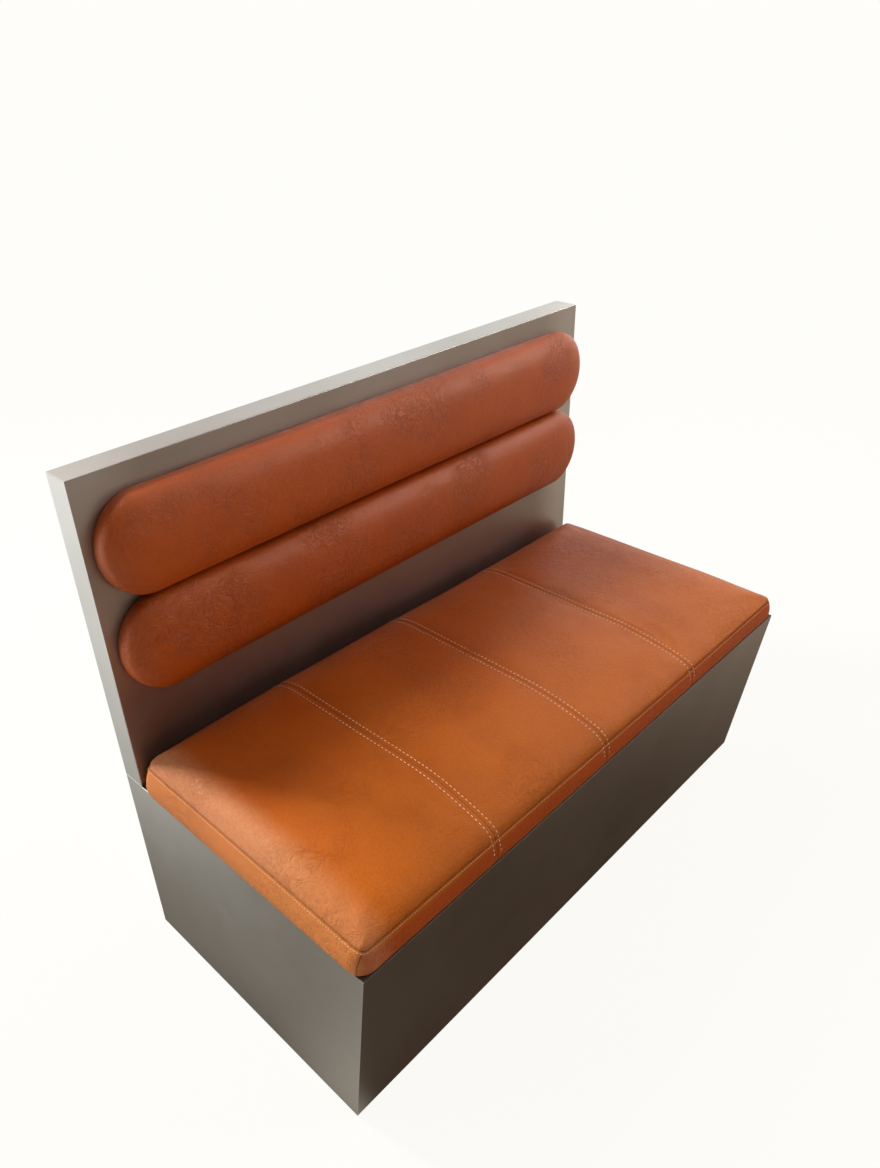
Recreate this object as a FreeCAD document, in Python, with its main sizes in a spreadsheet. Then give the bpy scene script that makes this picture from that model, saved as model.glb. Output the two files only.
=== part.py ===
import FreeCAD, Part
import math
import os
import Sketcher

# Single restaurant booth: a steel-clad plinth, a raked steel-clad back with two padded rolls,
# and a lift-out upholstered seat. X runs along the width, -Y is the front, +Z is up.
# The origin is on the floor, at the middle of the booth's bounding box.

# Driving sizes, in millimetres and degrees
drivingSizes = {
    # Overall form
    "overallWidth": 1265,
    "baseDepth": 562,
    "baseHeight": 365,
    "backRise": 535,
    "backThickness": 49,
    "rakeAngle": 7.1,
    # Steel cladding
    "sheetThickness": 1.5,
    "foldRadius": 1.2,
    "skirtGap": 3,
    # Plinth carcass
    "boardThickness": 18,
    "ribSpacing": 420,
    "postWidth": 40,
    "floorRailWidth": 45,
    "floorRailHeight": 22,
    # Floor glides and their screws
    "glideHeight": 6,
    "glideRadius": 15,
    "glideSpread": 540,
    "glideChamfer": 1,
    "glideHeadRecess": 3.4,
    "screwRadius": 2,
    "screwHeadRadius": 4,
    "screwHeadHeight": 2.4,
    "screwBite": 16,
    "screwClearance": 0.1,
    # Back frame
    "faceBoardThickness": 16,
    "uprightWidth": 40,
    "uprightWall": 2,
    "backRailHeight": 60,
    "middleRailClearance": 20.2,
    # Bolts that tie the uprights to the sides
    "boltRadius": 4,
    "boltHeadAcross": 13,
    "boltHeadHeight": 5.3,
    "boltClearance": 0.3,
    "nutHeight": 6.5,
    "nutPocketRadius": 9,
    "nutPocketDepth": 8,
    "washerRadius": 8,
    "washerThickness": 1.6,
    "lowBoltHeight": 90,
    "highBoltHeight": 290,
    "stileBoltHeight": 520,
    "boltAccessGap": 9,
    # Back rolls
    "rollRadius": 83.3,
    "rollRise": 50,
    "rollGap": 0.4,
    "rollEndMargin": 15,
    "lowerRollHeight": 252,
    "rollBoardThickness": 9,
    "rollScrewMargin": 78,
    "rollScrewOffset": 35,
    # Seat cushion
    "seatFrontSetback": 4,
    "seatSideSetback": 1,
    "seatRearGap": 4,
    "seatRestGap": 0.2,
    "seatBorderHeight": 35,
    "seatDrawIn": 6,
    "softEdgeReach": 14,
    "softEdgeRise": 28,
    "frontEdgeReach": 26,
    "frontEdgeRise": 17,
    "shoulderRise": 43,
    "frontShoulderReach": 140,
    "rearShoulderReach": 62,
    "endShoulderReach": 110,
    "seatCrown": 47,
    "seatEndCrown": 54,
    "seatCornerRadius": 14,
    "seatBoardThickness": 15,
    "seamChannelWidth": 18,
    "seamChannelDepth": 1.2,
    "firstSeamPlace": -337,
    "middleSeamPlace": -28,
    "lastSeamPlace": 275,
    # Covers and soft fits
    "coverThickness": 3,
    "softClearance": 0.3,
    # Battens under the seat
    "battenWidth": 25,
    "battenLength": 400,
    "battenClearance": 4,
    "battenScrewMargin": 60,
    # How far a cut runs past what it cuts
    "overrun": 2,
}

document = FreeCAD.newDocument("RestaurantBooth")
sheet = document.addObject("Spreadsheet::Sheet", "Sizes")
for row, (name, value) in enumerate(drivingSizes.items(), start=1):
    sheet.set(f"A{row}", name)
    sheet.set(f"B{row}", str(value))
    sheet.setAlias(f"B{row}", name)
document.recompute()

pieces = []

# Places that several pieces share, as expressions on the sheet
rakeSlope = "tan(Sizes.rakeAngle * 1deg)"
frontFace = f"(-(Sizes.baseDepth + Sizes.backRise * {rakeSlope}) / 2)"
halfWidth = "(Sizes.overallWidth / 2)"
rimWidth = "(Sizes.sheetThickness + Sizes.boardThickness)"
innerHalfWidth = f"({halfWidth} - {rimWidth})"
overallHeight = "(Sizes.baseHeight + Sizes.backRise)"
frameDepth = "(Sizes.backThickness - 2 * Sizes.sheetThickness - Sizes.faceBoardThickness)"
uprightInner = f"({innerHalfWidth} - Sizes.uprightWidth)"
frameTop = f"({overallHeight} - Sizes.sheetThickness)"
carcassTop = "(Sizes.baseHeight - Sizes.sheetThickness)"
railTop = "(Sizes.glideHeight + Sizes.floorRailHeight)"
upperScrewRow = "((Sizes.lowerRollHeight + Sizes.rollScrewOffset) * cos(Sizes.rakeAngle * 1deg))"
middleRailBottom = f"(Sizes.baseHeight + {upperScrewRow} + Sizes.middleRailClearance)"


def evaluate(expression):
    result = sheet.evalExpression(str(expression))
    return float(getattr(result, "Value", result))


def size(name):
    return float(sheet.get(name))


# The rear face is one raked plane from floor to top; depth is measured forward from it
def rearFace(height, depth="0"):
    return f"({frontFace} + Sizes.baseDepth + ({height} - Sizes.baseHeight) * {rakeSlope} - {depth})"


def rakedOutline(bottom, top, rear, front):
    return [
        (rearFace(bottom, front), bottom),
        (rearFace(bottom, rear), bottom),
        (rearFace(top, rear), top),
        (rearFace(top, front), top),
    ]


def rectangleOutline(low, high, bottom, top):
    return [(low, bottom), (high, bottom), (high, top), (low, top)]


def originPlane(body, role):
    return next(feature for feature in body.Origin.OriginFeatures if feature.Role == role)


def attachedSketch(body, plane, offset):
    sketch = body.newObject("Sketcher::SketchObject", "Sketch")
    sketch.AttachmentSupport = (originPlane(body, plane), "")
    sketch.MapMode = "FlatFace"
    sketch.setExpression("AttachmentOffset.Base.z", str(offset))
    return sketch


# A closed sketch of straight lines whose corners are bound to the sheet
def outlineSketch(body, plane, offset, points):
    sketch = attachedSketch(body, plane, offset)
    corners = [FreeCAD.Vector(evaluate(across), evaluate(up), 0) for across, up in points]
    count = len(corners)
    for index in range(count):
        sketch.addGeometry(Part.LineSegment(corners[index], corners[(index + 1) % count]), False)
    for index in range(count):
        sketch.addConstraint(Sketcher.Constraint("Coincident", index, 2, (index + 1) % count, 1))
    for index, (across, up) in enumerate(points):
        bindings = (("DistanceX", across, corners[index].x), ("DistanceY", up, corners[index].y))
        for kind, expression, value in bindings:
            number = sketch.addConstraint(Sketcher.Constraint(kind, -1, 1, index, 1, value))
            sketch.setExpression(f"Constraints[{number}]", str(expression))
    return sketch


def circleSketch(body, plane, offset, centres, radius):
    sketch = attachedSketch(body, plane, offset)
    for index, (across, up) in enumerate(centres):
        centre = FreeCAD.Vector(evaluate(across), evaluate(up), 0)
        sketch.addGeometry(Part.Circle(centre, FreeCAD.Vector(0, 0, 1), evaluate(radius)), False)
        bindings = (("DistanceX", across, centre.x), ("DistanceY", up, centre.y))
        for kind, expression, value in bindings:
            number = sketch.addConstraint(Sketcher.Constraint(kind, -1, 1, index, 3, value))
            sketch.setExpression(f"Constraints[{number}]", str(expression))
        number = sketch.addConstraint(Sketcher.Constraint("Radius", index, evaluate(radius)))
        sketch.setExpression(f"Constraints[{number}]", str(radius))
    return sketch


def addPad(body, plane, offset, points, length):
    pad = body.newObject("PartDesign::Pad", "Pad")
    pad.Profile = outlineSketch(body, plane, offset, points)
    pad.setExpression("Length", str(length))
    document.recompute()
    return pad


# Cuts run from the sketch plane along its normal
def addPocket(body, sketch, length):
    before = body.Shape.Volume
    pocket = body.newObject("PartDesign::Pocket", "Pocket")
    pocket.Profile = sketch
    pocket.Reversed = True
    pocket.setExpression("Length", str(length))
    document.recompute()
    if not body.Shape.Volume < before:
        raise RuntimeError(f"{body.Label}: a pocket cut nothing")
    return pocket


def newBody(label):
    body = document.addObject("PartDesign::Body", label)
    body.Label = label
    pieces.append(body)
    return body


# A piece of constant section along X, from a sketch in the side view
def crosswisePiece(label, points, start, length):
    body = newBody(label)
    addPad(body, "YZ_Plane", start, points, length)
    return body


# Rounds the edges of the last feature that the test picks by their two end points
def roundEdges(body, radius, picks):
    base = body.Tip
    names = []
    for index, edge in enumerate(base.Shape.Edges, start=1):
        ends = [vertex.Point for vertex in edge.Vertexes]
        if len(ends) == 2 and all(picks(point) for point in ends):
            names.append(f"Edge{index}")
    if not names:
        raise RuntimeError(f"{body.Label}: no edge to round")
    fillet = body.newObject("PartDesign::Fillet", "Fillet")
    fillet.Base = (base, names)
    fillet.setExpression("Radius", str(radius))
    document.recompute()
    return fillet


def near(value, expression):
    return abs(value - evaluate(expression)) < size("sheetThickness") / 10


def sideStart(side, inner, thickness):
    return f"-({inner} + {thickness})" if side < 0 else inner


sides = {"left": -1, "right": 1}


# Front cladding: one sheet folded rearward over the plinth's front edge
def makeFrontSheet():
    inner = f"({frontFace} + Sizes.sheetThickness)"
    rim = f"({frontFace} + {rimWidth})"
    points = [
        (frontFace, "Sizes.skirtGap"),
        (inner, "Sizes.skirtGap"),
        (inner, carcassTop),
        (rim, carcassTop),
        (rim, "Sizes.baseHeight"),
        (frontFace, "Sizes.baseHeight"),
    ]
    body = crosswisePiece("base_front_sheet", points, f"-{halfWidth}", "Sizes.overallWidth")
    roundEdges(body, "Sizes.foldRadius", lambda p: near(p.y, frontFace) and near(p.z, "Sizes.baseHeight"))


# Side cladding: a sheet with a raked rear edge and a flange folded over the side board
def makeSideSheet(name, side):
    label = f"base_{name}_sheet"
    inner = f"({frontFace} + Sizes.sheetThickness)"
    rim = f"({frontFace} + {rimWidth})"
    plate = [
        (inner, "Sizes.skirtGap"),
        (rearFace("Sizes.skirtGap", "Sizes.sheetThickness"), "Sizes.skirtGap"),
        (rearFace("Sizes.baseHeight", "Sizes.sheetThickness"), "Sizes.baseHeight"),
        (rim, "Sizes.baseHeight"),
        (rim, carcassTop),
        (inner, carcassTop),
    ]
    flange = [
        (rim, carcassTop),
        (rearFace(carcassTop, "Sizes.sheetThickness"), carcassTop),
        (rearFace("Sizes.baseHeight", "Sizes.sheetThickness"), "Sizes.baseHeight"),
        (rim, "Sizes.baseHeight"),
    ]
    skin = sideStart(side, f"({halfWidth} - Sizes.sheetThickness)", "Sizes.sheetThickness")
    body = crosswisePiece(label, plate, skin, "Sizes.sheetThickness")
    addPad(body, "YZ_Plane", sideStart(side, innerHalfWidth, rimWidth), flange, rimWidth)
    outer = f"{side} * {halfWidth}"
    roundEdges(body, "Sizes.foldRadius", lambda p: near(p.x, outer) and near(p.z, "Sizes.baseHeight"))


def makeRearSheet():
    points = rakedOutline("Sizes.skirtGap", "Sizes.baseHeight", "0", "Sizes.sheetThickness")
    crosswisePiece("base_rear_sheet", points, f"-{halfWidth}", "Sizes.overallWidth")


# Plinth boards
def makeFrontBoard():
    low = f"({frontFace} + Sizes.sheetThickness)"
    high = f"({frontFace} + {rimWidth})"
    start = f"-({halfWidth} - Sizes.sheetThickness)"
    length = "(Sizes.overallWidth - 2 * Sizes.sheetThickness)"
    crosswisePiece("base_front_board", rectangleOutline(low, high, "Sizes.glideHeight", carcassTop), start, length)


# The rear board stops short of the uprights, where the bolts' heads stand
def makeRearBoard():
    points = rakedOutline("Sizes.glideHeight", "Sizes.baseHeight", "Sizes.sheetThickness", rimWidth)
    reach = f"({uprightInner} - Sizes.boltAccessGap)"
    crosswisePiece("base_rear_board", points, f"-{reach}", f"(2 * {reach})")


def boltCentre(height):
    return (rearFace(height, f"(Sizes.sheetThickness + {frameDepth} / 2)"), height)


baseBoltHeights = ["Sizes.lowBoltHeight", "Sizes.highBoltHeight"]
allBoltHeights = baseBoltHeights + ["Sizes.stileBoltHeight"]
boltHoleRadius = "(Sizes.boltRadius + Sizes.boltClearance)"


# A side member's bolt holes, with round pockets for the nuts in its outer face
def drillForBolts(body, side, heights):
    centres = [boltCentre(height) for height in heights]
    start = sideStart(side, innerHalfWidth, "Sizes.boardThickness")
    addPocket(body, circleSketch(body, "YZ_Plane", start, centres, boltHoleRadius), "Sizes.boardThickness")
    inner = f"({innerHalfWidth} + Sizes.boardThickness - Sizes.nutPocketDepth)"
    start = sideStart(side, inner, "Sizes.nutPocketDepth")
    addPocket(body, circleSketch(body, "YZ_Plane", start, centres, "Sizes.nutPocketRadius"), "Sizes.nutPocketDepth")


def makeSideBoard(name, side):
    front = f"({frontFace} + {rimWidth})"
    points = [
        (front, "Sizes.glideHeight"),
        (rearFace("Sizes.glideHeight", "Sizes.sheetThickness"), "Sizes.glideHeight"),
        (rearFace(carcassTop, "Sizes.sheetThickness"), carcassTop),
        (front, carcassTop),
    ]
    start = sideStart(side, innerHalfWidth, "Sizes.boardThickness")
    body = crosswisePiece(f"base_{name}_board", points, start, "Sizes.boardThickness")
    drillForBolts(body, side, baseBoltHeights)


# Cross ribs stand on the floor rails and carry the seat board
def makeRib(name, side):
    front = f"({frontFace} + {rimWidth})"
    points = [
        (front, railTop),
        (rearFace(railTop, rimWidth), railTop),
        (rearFace("Sizes.baseHeight", rimWidth), "Sizes.baseHeight"),
        (front, "Sizes.baseHeight"),
    ]
    start = f"({side} * Sizes.ribSpacing / 2 - Sizes.boardThickness / 2)"
    crosswisePiece(f"base_{name}_rib", points, start, "Sizes.boardThickness")


def makeFrontPost(name, side):
    low = f"({frontFace} + {rimWidth})"
    points = rectangleOutline(low, f"({low} + Sizes.postWidth)", railTop, carcassTop)
    start = sideStart(side, f"({innerHalfWidth} - Sizes.postWidth)", "Sizes.postWidth")
    crosswisePiece(f"base_{name}_front_post", points, start, "Sizes.postWidth")


# Floor rails carry the glides
frontRailLow = f"({frontFace} + {rimWidth})"
rearRailLow = f"({rearFace('Sizes.glideHeight', rimWidth)} - Sizes.floorRailWidth)"
glideRows = [f"({low} + Sizes.floorRailWidth / 2)" for low in (frontRailLow, rearRailLow)]
glidePlaces = ["-Sizes.glideSpread", "0", "Sizes.glideSpread"]


def makeFloorRail(label, low, reach, row):
    points = rectangleOutline(low, f"({low} + Sizes.floorRailWidth)", "Sizes.glideHeight", railTop)
    body = crosswisePiece(label, points, f"-{reach}", f"(2 * {reach})")
    centres = [(place, row) for place in glidePlaces]
    radius = "(Sizes.screwRadius + Sizes.screwClearance)"
    depth = "(Sizes.screwBite + Sizes.screwClearance)"
    addPocket(body, circleSketch(body, "XY_Plane", "Sizes.glideHeight", centres, radius), depth)


# Members of the back frame
def makeUpright(name, side):
    outer = rakedOutline("Sizes.glideHeight", f"({frameTop} - Sizes.backRailHeight)",
                         "Sizes.sheetThickness", f"(Sizes.sheetThickness + {frameDepth})")
    body = crosswisePiece(f"back_{name}_upright", outer, sideStart(side, uprightInner, "Sizes.uprightWidth"),
                          "Sizes.uprightWidth")
    rear = "(Sizes.sheetThickness + Sizes.uprightWall)"
    front = f"(Sizes.sheetThickness + {frameDepth} - Sizes.uprightWall)"
    hollow = rakedOutline("(Sizes.glideHeight - Sizes.overrun)",
                          f"({frameTop} - Sizes.backRailHeight + Sizes.overrun)", rear, front)
    inside = "(Sizes.uprightWidth - 2 * Sizes.uprightWall)"
    start = sideStart(side, f"({uprightInner} + Sizes.uprightWall)", inside)
    addPocket(body, outlineSketch(body, "YZ_Plane", start, hollow), inside)
    centres = [boltCentre(height) for height in allBoltHeights]
    start = sideStart(side, uprightInner, "Sizes.uprightWidth")
    addPocket(body, circleSketch(body, "YZ_Plane", start, centres, boltHoleRadius), "Sizes.uprightWidth")


def makeStile(name, side):
    points = rakedOutline("Sizes.baseHeight", frameTop, "Sizes.sheetThickness",
                          f"(Sizes.sheetThickness + {frameDepth})")
    start = sideStart(side, innerHalfWidth, "Sizes.boardThickness")
    body = crosswisePiece(f"back_{name}_stile", points, start, "Sizes.boardThickness")
    drillForBolts(body, side, ["Sizes.stileBoltHeight"])


def makeBackRail(label, bottom, reach):
    points = rakedOutline(bottom, f"({bottom} + Sizes.backRailHeight)", "Sizes.sheetThickness",
                          f"(Sizes.sheetThickness + {frameDepth})")
    crosswisePiece(label, points, f"-{reach}", f"(2 * {reach})")


def makeBackRearSheet():
    points = rakedOutline("Sizes.baseHeight", frameTop, "0", "Sizes.sheetThickness")
    reach = f"({halfWidth} - Sizes.sheetThickness)"
    crosswisePiece("back_rear_sheet", points, f"-{reach}", f"(2 * {reach})")


# The frame of the back's face: x along the width, y up the slope, z out of the face
def facePlacement():
    foot = FreeCAD.Vector(0, evaluate(rearFace("Sizes.baseHeight", "Sizes.backThickness")), size("baseHeight"))
    return FreeCAD.Placement(foot, FreeCAD.Rotation(FreeCAD.Vector(1, 0, 0), 90 - size("rakeAngle")))


def rollHeights():
    pitch = 2 * size("rollRadius") + size("rollGap")
    return {"lower": size("lowerRollHeight"), "upper": size("lowerRollHeight") + pitch}


# Four screws in a zigzag, evenly spread between the uprights
def rollScrewPlaces(height):
    reach = evaluate(uprightInner) - size("rollScrewMargin")
    columns = [reach * share for share in (-1, -1 / 3, 1 / 3, 1)]
    rows = [height + size("rollScrewOffset") * (-1) ** index for index in range(len(columns))]
    return list(zip(columns, rows))


# How far back from the face the screw heads seat, measured square to the face
def screwSeat():
    return (size("sheetThickness") + size("faceBoardThickness")) * math.cos(math.radians(size("rakeAngle")))


def rollScrewShape(across, up, clearance):
    seat = screwSeat()
    reach = seat + size("rollBoardThickness") * 2 / 3
    foot = FreeCAD.Vector(across, up, -seat)
    return Part.makeCylinder(size("screwRadius") + clearance, reach + clearance, foot)


def allRollScrewPlaces():
    return [place for height in rollHeights().values() for place in rollScrewPlaces(height)]


def shapeFeature(label, shape, placement=FreeCAD.Placement()):
    feature = document.addObject("Part::Feature", label)
    feature.Label = label
    feature.Shape = shape
    feature.Placement = placement
    return feature


def makeRollScrewHoles():
    holes = [rollScrewShape(across, up, size("screwClearance")) for across, up in allRollScrewPlaces()]
    return shapeFeature("roll_screw_holes", Part.makeCompound(holes), facePlacement())


# Replaces a piece by the same piece with the roll screws' holes in it
def drillForRollScrews(piece, holes):
    label = piece.Label
    piece.Label = f"{label}_blank"
    cut = document.addObject("Part::Cut", label)
    cut.Label = label
    cut.Base = piece
    cut.Tool = holes
    pieces[pieces.index(piece)] = cut


def makeFaceBoard(holes):
    points = rakedOutline("Sizes.baseHeight", frameTop, f"(Sizes.sheetThickness + {frameDepth})",
                          "(Sizes.backThickness - Sizes.sheetThickness)")
    reach = f"({halfWidth} - Sizes.sheetThickness)"
    body = crosswisePiece("back_face_board", points, f"-{reach}", f"(2 * {reach})")
    drillForRollScrews(body, holes)


# Back cladding: one sheet folded over the top and both sides of the frame
def makeBackTray(holes):
    outer = rakedOutline("Sizes.baseHeight", overallHeight, "0", "Sizes.backThickness")
    body = crosswisePiece("back_face_tray", outer, f"-{halfWidth}", "Sizes.overallWidth")
    hollow = rakedOutline("(Sizes.baseHeight - Sizes.overrun)", frameTop, "(-Sizes.overrun)",
                          "(Sizes.backThickness - Sizes.sheetThickness)")
    reach = f"({halfWidth} - Sizes.sheetThickness)"
    addPocket(body, outlineSketch(body, "YZ_Plane", f"-{reach}", hollow), f"(2 * {reach})")
    topFront = rearFace(overallHeight, "Sizes.backThickness")
    roundEdges(body, "Sizes.foldRadius", lambda p: near(p.y, topFront) and near(p.z, overallHeight))
    drillForRollScrews(body, holes)


# Half section of a padded roll, as shares of its radius and its rise: foot, border, shoulder
rollSectionShares = [
    (0.970, 0.00), (0.997, 0.14), (1.000, 0.30),
    (0.940, 0.66), (0.760, 0.87),
]


# The crown is one arc centred on the roll's middle line, so that its round ends are true domes
def crownArc(shoulder, top):
    drop = top - shoulder.z
    bend = (shoulder.y ** 2 + drop ** 2) / (2 * drop)
    across = shoulder.y / 2
    via = FreeCAD.Vector(0, across, top - bend + math.sqrt(bend ** 2 - across ** 2))
    return Part.Arc(shoulder, via, FreeCAD.Vector(0, 0, top)).toShape()


# A padded roll with round ends: its section runs straight, then turns half round at each end
def rollForm(inset, bottom):
    radius = size("rollRadius") - inset
    rise = size("rollRise") - inset
    reach = size("overallWidth") / 2 - size("rollEndMargin") - size("rollRadius")
    half = [FreeCAD.Vector(0, radius * across, rise * up) for across, up in rollSectionShares]
    half[0].z = bottom
    arcs = [Part.Arc(*half[index:index + 3]).toShape() for index in (0, 2)]
    arcs.append(crownArc(half[-1], rise))
    foot = FreeCAD.Vector(0, 0, bottom)
    closing = [Part.makeLine(FreeCAD.Vector(0, 0, rise), foot), Part.makeLine(foot, half[0])]
    face = Part.Face(Part.Wire(arcs + closing))
    halfBar = face.extrude(FreeCAD.Vector(2 * reach, 0, 0))
    halfBar.translate(FreeCAD.Vector(-reach, 0, 0))
    otherBar = halfBar.mirror(FreeCAD.Vector(0, 0, 0), FreeCAD.Vector(0, 1, 0))
    ends = []
    for side, turn in ((-1, 180), (1, -180)):
        section = face.copy()
        section.translate(FreeCAD.Vector(side * reach, 0, 0))
        centre = FreeCAD.Vector(side * reach, 0, 0)
        ends.append(section.revolve(centre, FreeCAD.Vector(0, 0, 1), turn))
    return halfBar.fuse([otherBar] + ends).removeSplitter()


def facePlacementAt(height):
    return facePlacement().multiply(FreeCAD.Placement(FreeCAD.Vector(0, height, 0), FreeCAD.Rotation()))


# A roll: plywood board, foam and a sewn cover
def makeRoll(name, height):
    cover, clearance = size("coverThickness"), size("softClearance")
    boardTop = size("rollBoardThickness")
    below = -size("overrun")
    skin = rollForm(0, clearance).cut(rollForm(cover, below))
    pieces.append(shapeFeature(f"{name}_roll_cover", skin, facePlacementAt(height)))
    width, tall = size("overallWidth"), size("rollRise")
    upperRoom = Part.makeBox(width, width, tall, FreeCAD.Vector(-width / 2, -width / 2, boardTop + clearance))
    foam = rollForm(cover + clearance, below).common(upperRoom)
    pieces.append(shapeFeature(f"{name}_roll_foam", foam, facePlacementAt(height)))
    reach = size("overallWidth") / 2 - size("rollEndMargin") - size("rollRadius")
    radius = (size("rollRadius") - cover) * rollSectionShares[0][0] - clearance
    plate = Part.makeBox(2 * reach, 2 * radius, boardTop, FreeCAD.Vector(-reach, -radius, 0))
    ends = [Part.makeCylinder(radius, boardTop, FreeCAD.Vector(side * reach, 0, 0)) for side in (-1, 1)]
    board = plate.fuse(ends).removeSplitter()
    for across, up in rollScrewPlaces(height):
        board = board.cut(rollScrewShape(across, up - height, size("screwClearance")))
    pieces.append(shapeFeature(f"{name}_roll_board", board, facePlacementAt(height)))


def makeRollScrews():
    screws = []
    for across, up in allRollScrewPlaces():
        head = Part.makeCylinder(size("screwHeadRadius"), size("screwHeadHeight"),
                                 FreeCAD.Vector(across, up, -screwSeat() - size("screwHeadHeight")))
        screws.append(head.fuse(rollScrewShape(across, up, 0)).removeSplitter())
    pieces.append(shapeFeature("roll_screws", Part.makeCompound(screws), facePlacement()))


# The seat's border bows by a share of its draw-in; its soft edge and its shoulder bow above the
# straight line between their ends, as shares of its run and of its rise
borderBowShare = 0.3
edgeBowShares = (0.28, 0.64)
shoulderBowShares = (0.42, 0.64)


def bowPoint(start, end, shares):
    return tuple(first + (last - first) * share for first, last, share in zip(start, end, shares))


# Half section of the seat cushion: the drawn-in border up to its seam, the soft edge, the shoulder
def halfCushion(bottom, top, edgeReach, edgeRise, reach):
    drawIn = size("seatDrawIn")
    foot, seam = (0, bottom), (drawIn, top)
    edge = (drawIn + edgeReach, top + edgeRise)
    shoulder = (drawIn + reach, top + size("shoulderRise"))
    border = (drawIn * borderBowShare, (bottom + top) / 2)
    return [foot, border, seam, bowPoint(seam, edge, edgeBowShares), edge,
            bowPoint(edge, shoulder, shoulderBowShares), shoulder]


# Whole section from low to high, its two halves met by the crown's arc
def cushionWire(low, high, halves, crownTop, place):
    first = [(low + across, up) for across, up in halves[0]]
    last = [(high - across, up) for across, up in reversed(halves[1])]
    middle = ((first[-1][0] + last[0][0]) / 2, crownTop)
    points = [place(across, up) for across, up in first + [middle] + last]
    arcs = [Part.Arc(*points[index:index + 3]).toShape() for index in range(0, len(points) - 1, 2)]
    return Part.Wire(arcs + [Part.makeLine(points[-1], points[0])])


def seatLimits():
    low = evaluate(f"{frontFace} + Sizes.seatFrontSetback")
    high = evaluate(f"{rearFace('Sizes.baseHeight', 'Sizes.backThickness')} - Sizes.seatRearGap")
    reach = size("overallWidth") / 2 - size("seatSideSetback")
    return low, high, reach


def seatBottom():
    return size("baseHeight") + size("seatRestGap")


# The seat cushion's form: its side section, its end section and its plan, all met together
def seatForm(inset, bottom):
    low, high, reach = seatLimits()
    low, high, reach = low + inset, high - inset, reach - inset
    top = seatBottom() + size("seatBorderHeight") - inset
    front = halfCushion(bottom, top, size("frontEdgeReach"), size("frontEdgeRise"), size("frontShoulderReach"))
    rear = halfCushion(bottom, top, size("softEdgeReach"), size("softEdgeRise"), size("rearShoulderReach"))
    end = halfCushion(bottom, top, size("softEdgeReach"), size("softEdgeRise"), size("endShoulderReach"))
    side = cushionWire(low, high, (front, rear), top + size("seatCrown"),
                       lambda across, up: FreeCAD.Vector(-reach, across, up))
    ends = cushionWire(-reach, reach, (end, end), top + size("seatEndCrown"),
                       lambda across, up: FreeCAD.Vector(across, low, up))
    sideBar = Part.Face(side).extrude(FreeCAD.Vector(2 * reach, 0, 0))
    endBar = Part.Face(ends).extrude(FreeCAD.Vector(0, high - low, 0))
    tall = size("seatBorderHeight") + size("seatEndCrown")
    plan = Part.makeBox(2 * reach, high - low, tall, FreeCAD.Vector(-reach, low, bottom))
    upright = [edge for edge in plan.Edges if abs(edge.tangentAt(0).z) > 0.5]
    plan = plan.makeFillet(size("seatCornerRadius") - inset, upright)
    return sideBar.common(endBar).common(plan)


# One sewn cross seam: a shallow channel over the top and down both borders
def seamChannel(place):
    low, high, reach = seatLimits()
    width, margin = size("seamChannelWidth"), size("overrun")
    corner = FreeCAD.Vector(place - width / 2, low - margin, seatBottom() - margin)
    tall = size("seatBorderHeight") + size("seatEndCrown")
    return Part.makeBox(width, high - low + 2 * margin, tall, corner)


def makeSeatCover():
    bottom = seatBottom() + size("softClearance")
    below = size("baseHeight") - size("overrun")
    outer = seatForm(0, bottom)
    rind = outer.cut(seatForm(size("seamChannelDepth"), below))
    cover = outer.cut(seatForm(size("coverThickness"), below))
    for name in ("first", "middle", "last"):
        cover = cover.cut(rind.common(seamChannel(size(f"{name}SeamPlace"))))
    pieces.append(shapeFeature("seat_cover", cover))


def makeSeatFoam():
    inset = size("coverThickness") + size("softClearance")
    bottom = seatBottom() + size("seatBoardThickness") + size("softClearance")
    corner = FreeCAD.Vector(-size("overallWidth") / 2, evaluate(frontFace), bottom)
    upperRoom = Part.makeBox(size("overallWidth"), size("baseDepth"), size("baseHeight"), corner)
    foam = seatForm(inset, size("baseHeight") - size("overrun")).common(upperRoom)
    pieces.append(shapeFeature("seat_foam", foam))


battenLow = f"({frontFace} + {rimWidth} + Sizes.postWidth + Sizes.battenClearance)"
battenInner = f"({innerHalfWidth} - Sizes.battenClearance - Sizes.battenWidth)"
battenCentre = f"({battenInner} + Sizes.battenWidth / 2)"
battenRows = [f"({battenLow} + Sizes.battenScrewMargin)",
              f"({battenLow} + Sizes.battenLength - Sizes.battenScrewMargin)"]
seatUnderside = "(Sizes.baseHeight + Sizes.seatRestGap)"
battenUnderside = f"({seatUnderside} - Sizes.battenWidth)"
screwHole = "(Sizes.screwRadius + Sizes.screwClearance)"


def battenScrewCentres():
    return [(f"({side} * {battenCentre})", row) for side in sides.values() for row in battenRows]


def makeSeatBoard():
    inset = f"(Sizes.coverThickness + Sizes.softClearance + Sizes.seatDrawIn * {borderBowShare})"
    reach = f"({halfWidth} - Sizes.seatSideSetback - {inset})"
    low = f"({frontFace} + Sizes.seatFrontSetback + {inset})"
    high = f"({rearFace('Sizes.baseHeight', 'Sizes.backThickness')} - Sizes.seatRearGap - {inset})"
    points = rectangleOutline(low, high, seatUnderside, f"({seatUnderside} + Sizes.seatBoardThickness)")
    body = crosswisePiece("seat_board", points, f"-{reach}", f"(2 * {reach})")
    base = body.Tip
    names = [f"Edge{index}" for index, edge in enumerate(base.Shape.Edges, start=1)
             if abs(edge.tangentAt(0).z) > 0.5]
    fillet = body.newObject("PartDesign::Fillet", "Fillet")
    fillet.Base = (base, names)
    fillet.setExpression("Radius", "Sizes.seatCornerRadius")
    document.recompute()
    sketch = circleSketch(body, "XY_Plane", seatUnderside, battenScrewCentres(), screwHole)
    addPocket(body, sketch, "(Sizes.seatBoardThickness * 3 / 4)")


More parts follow.
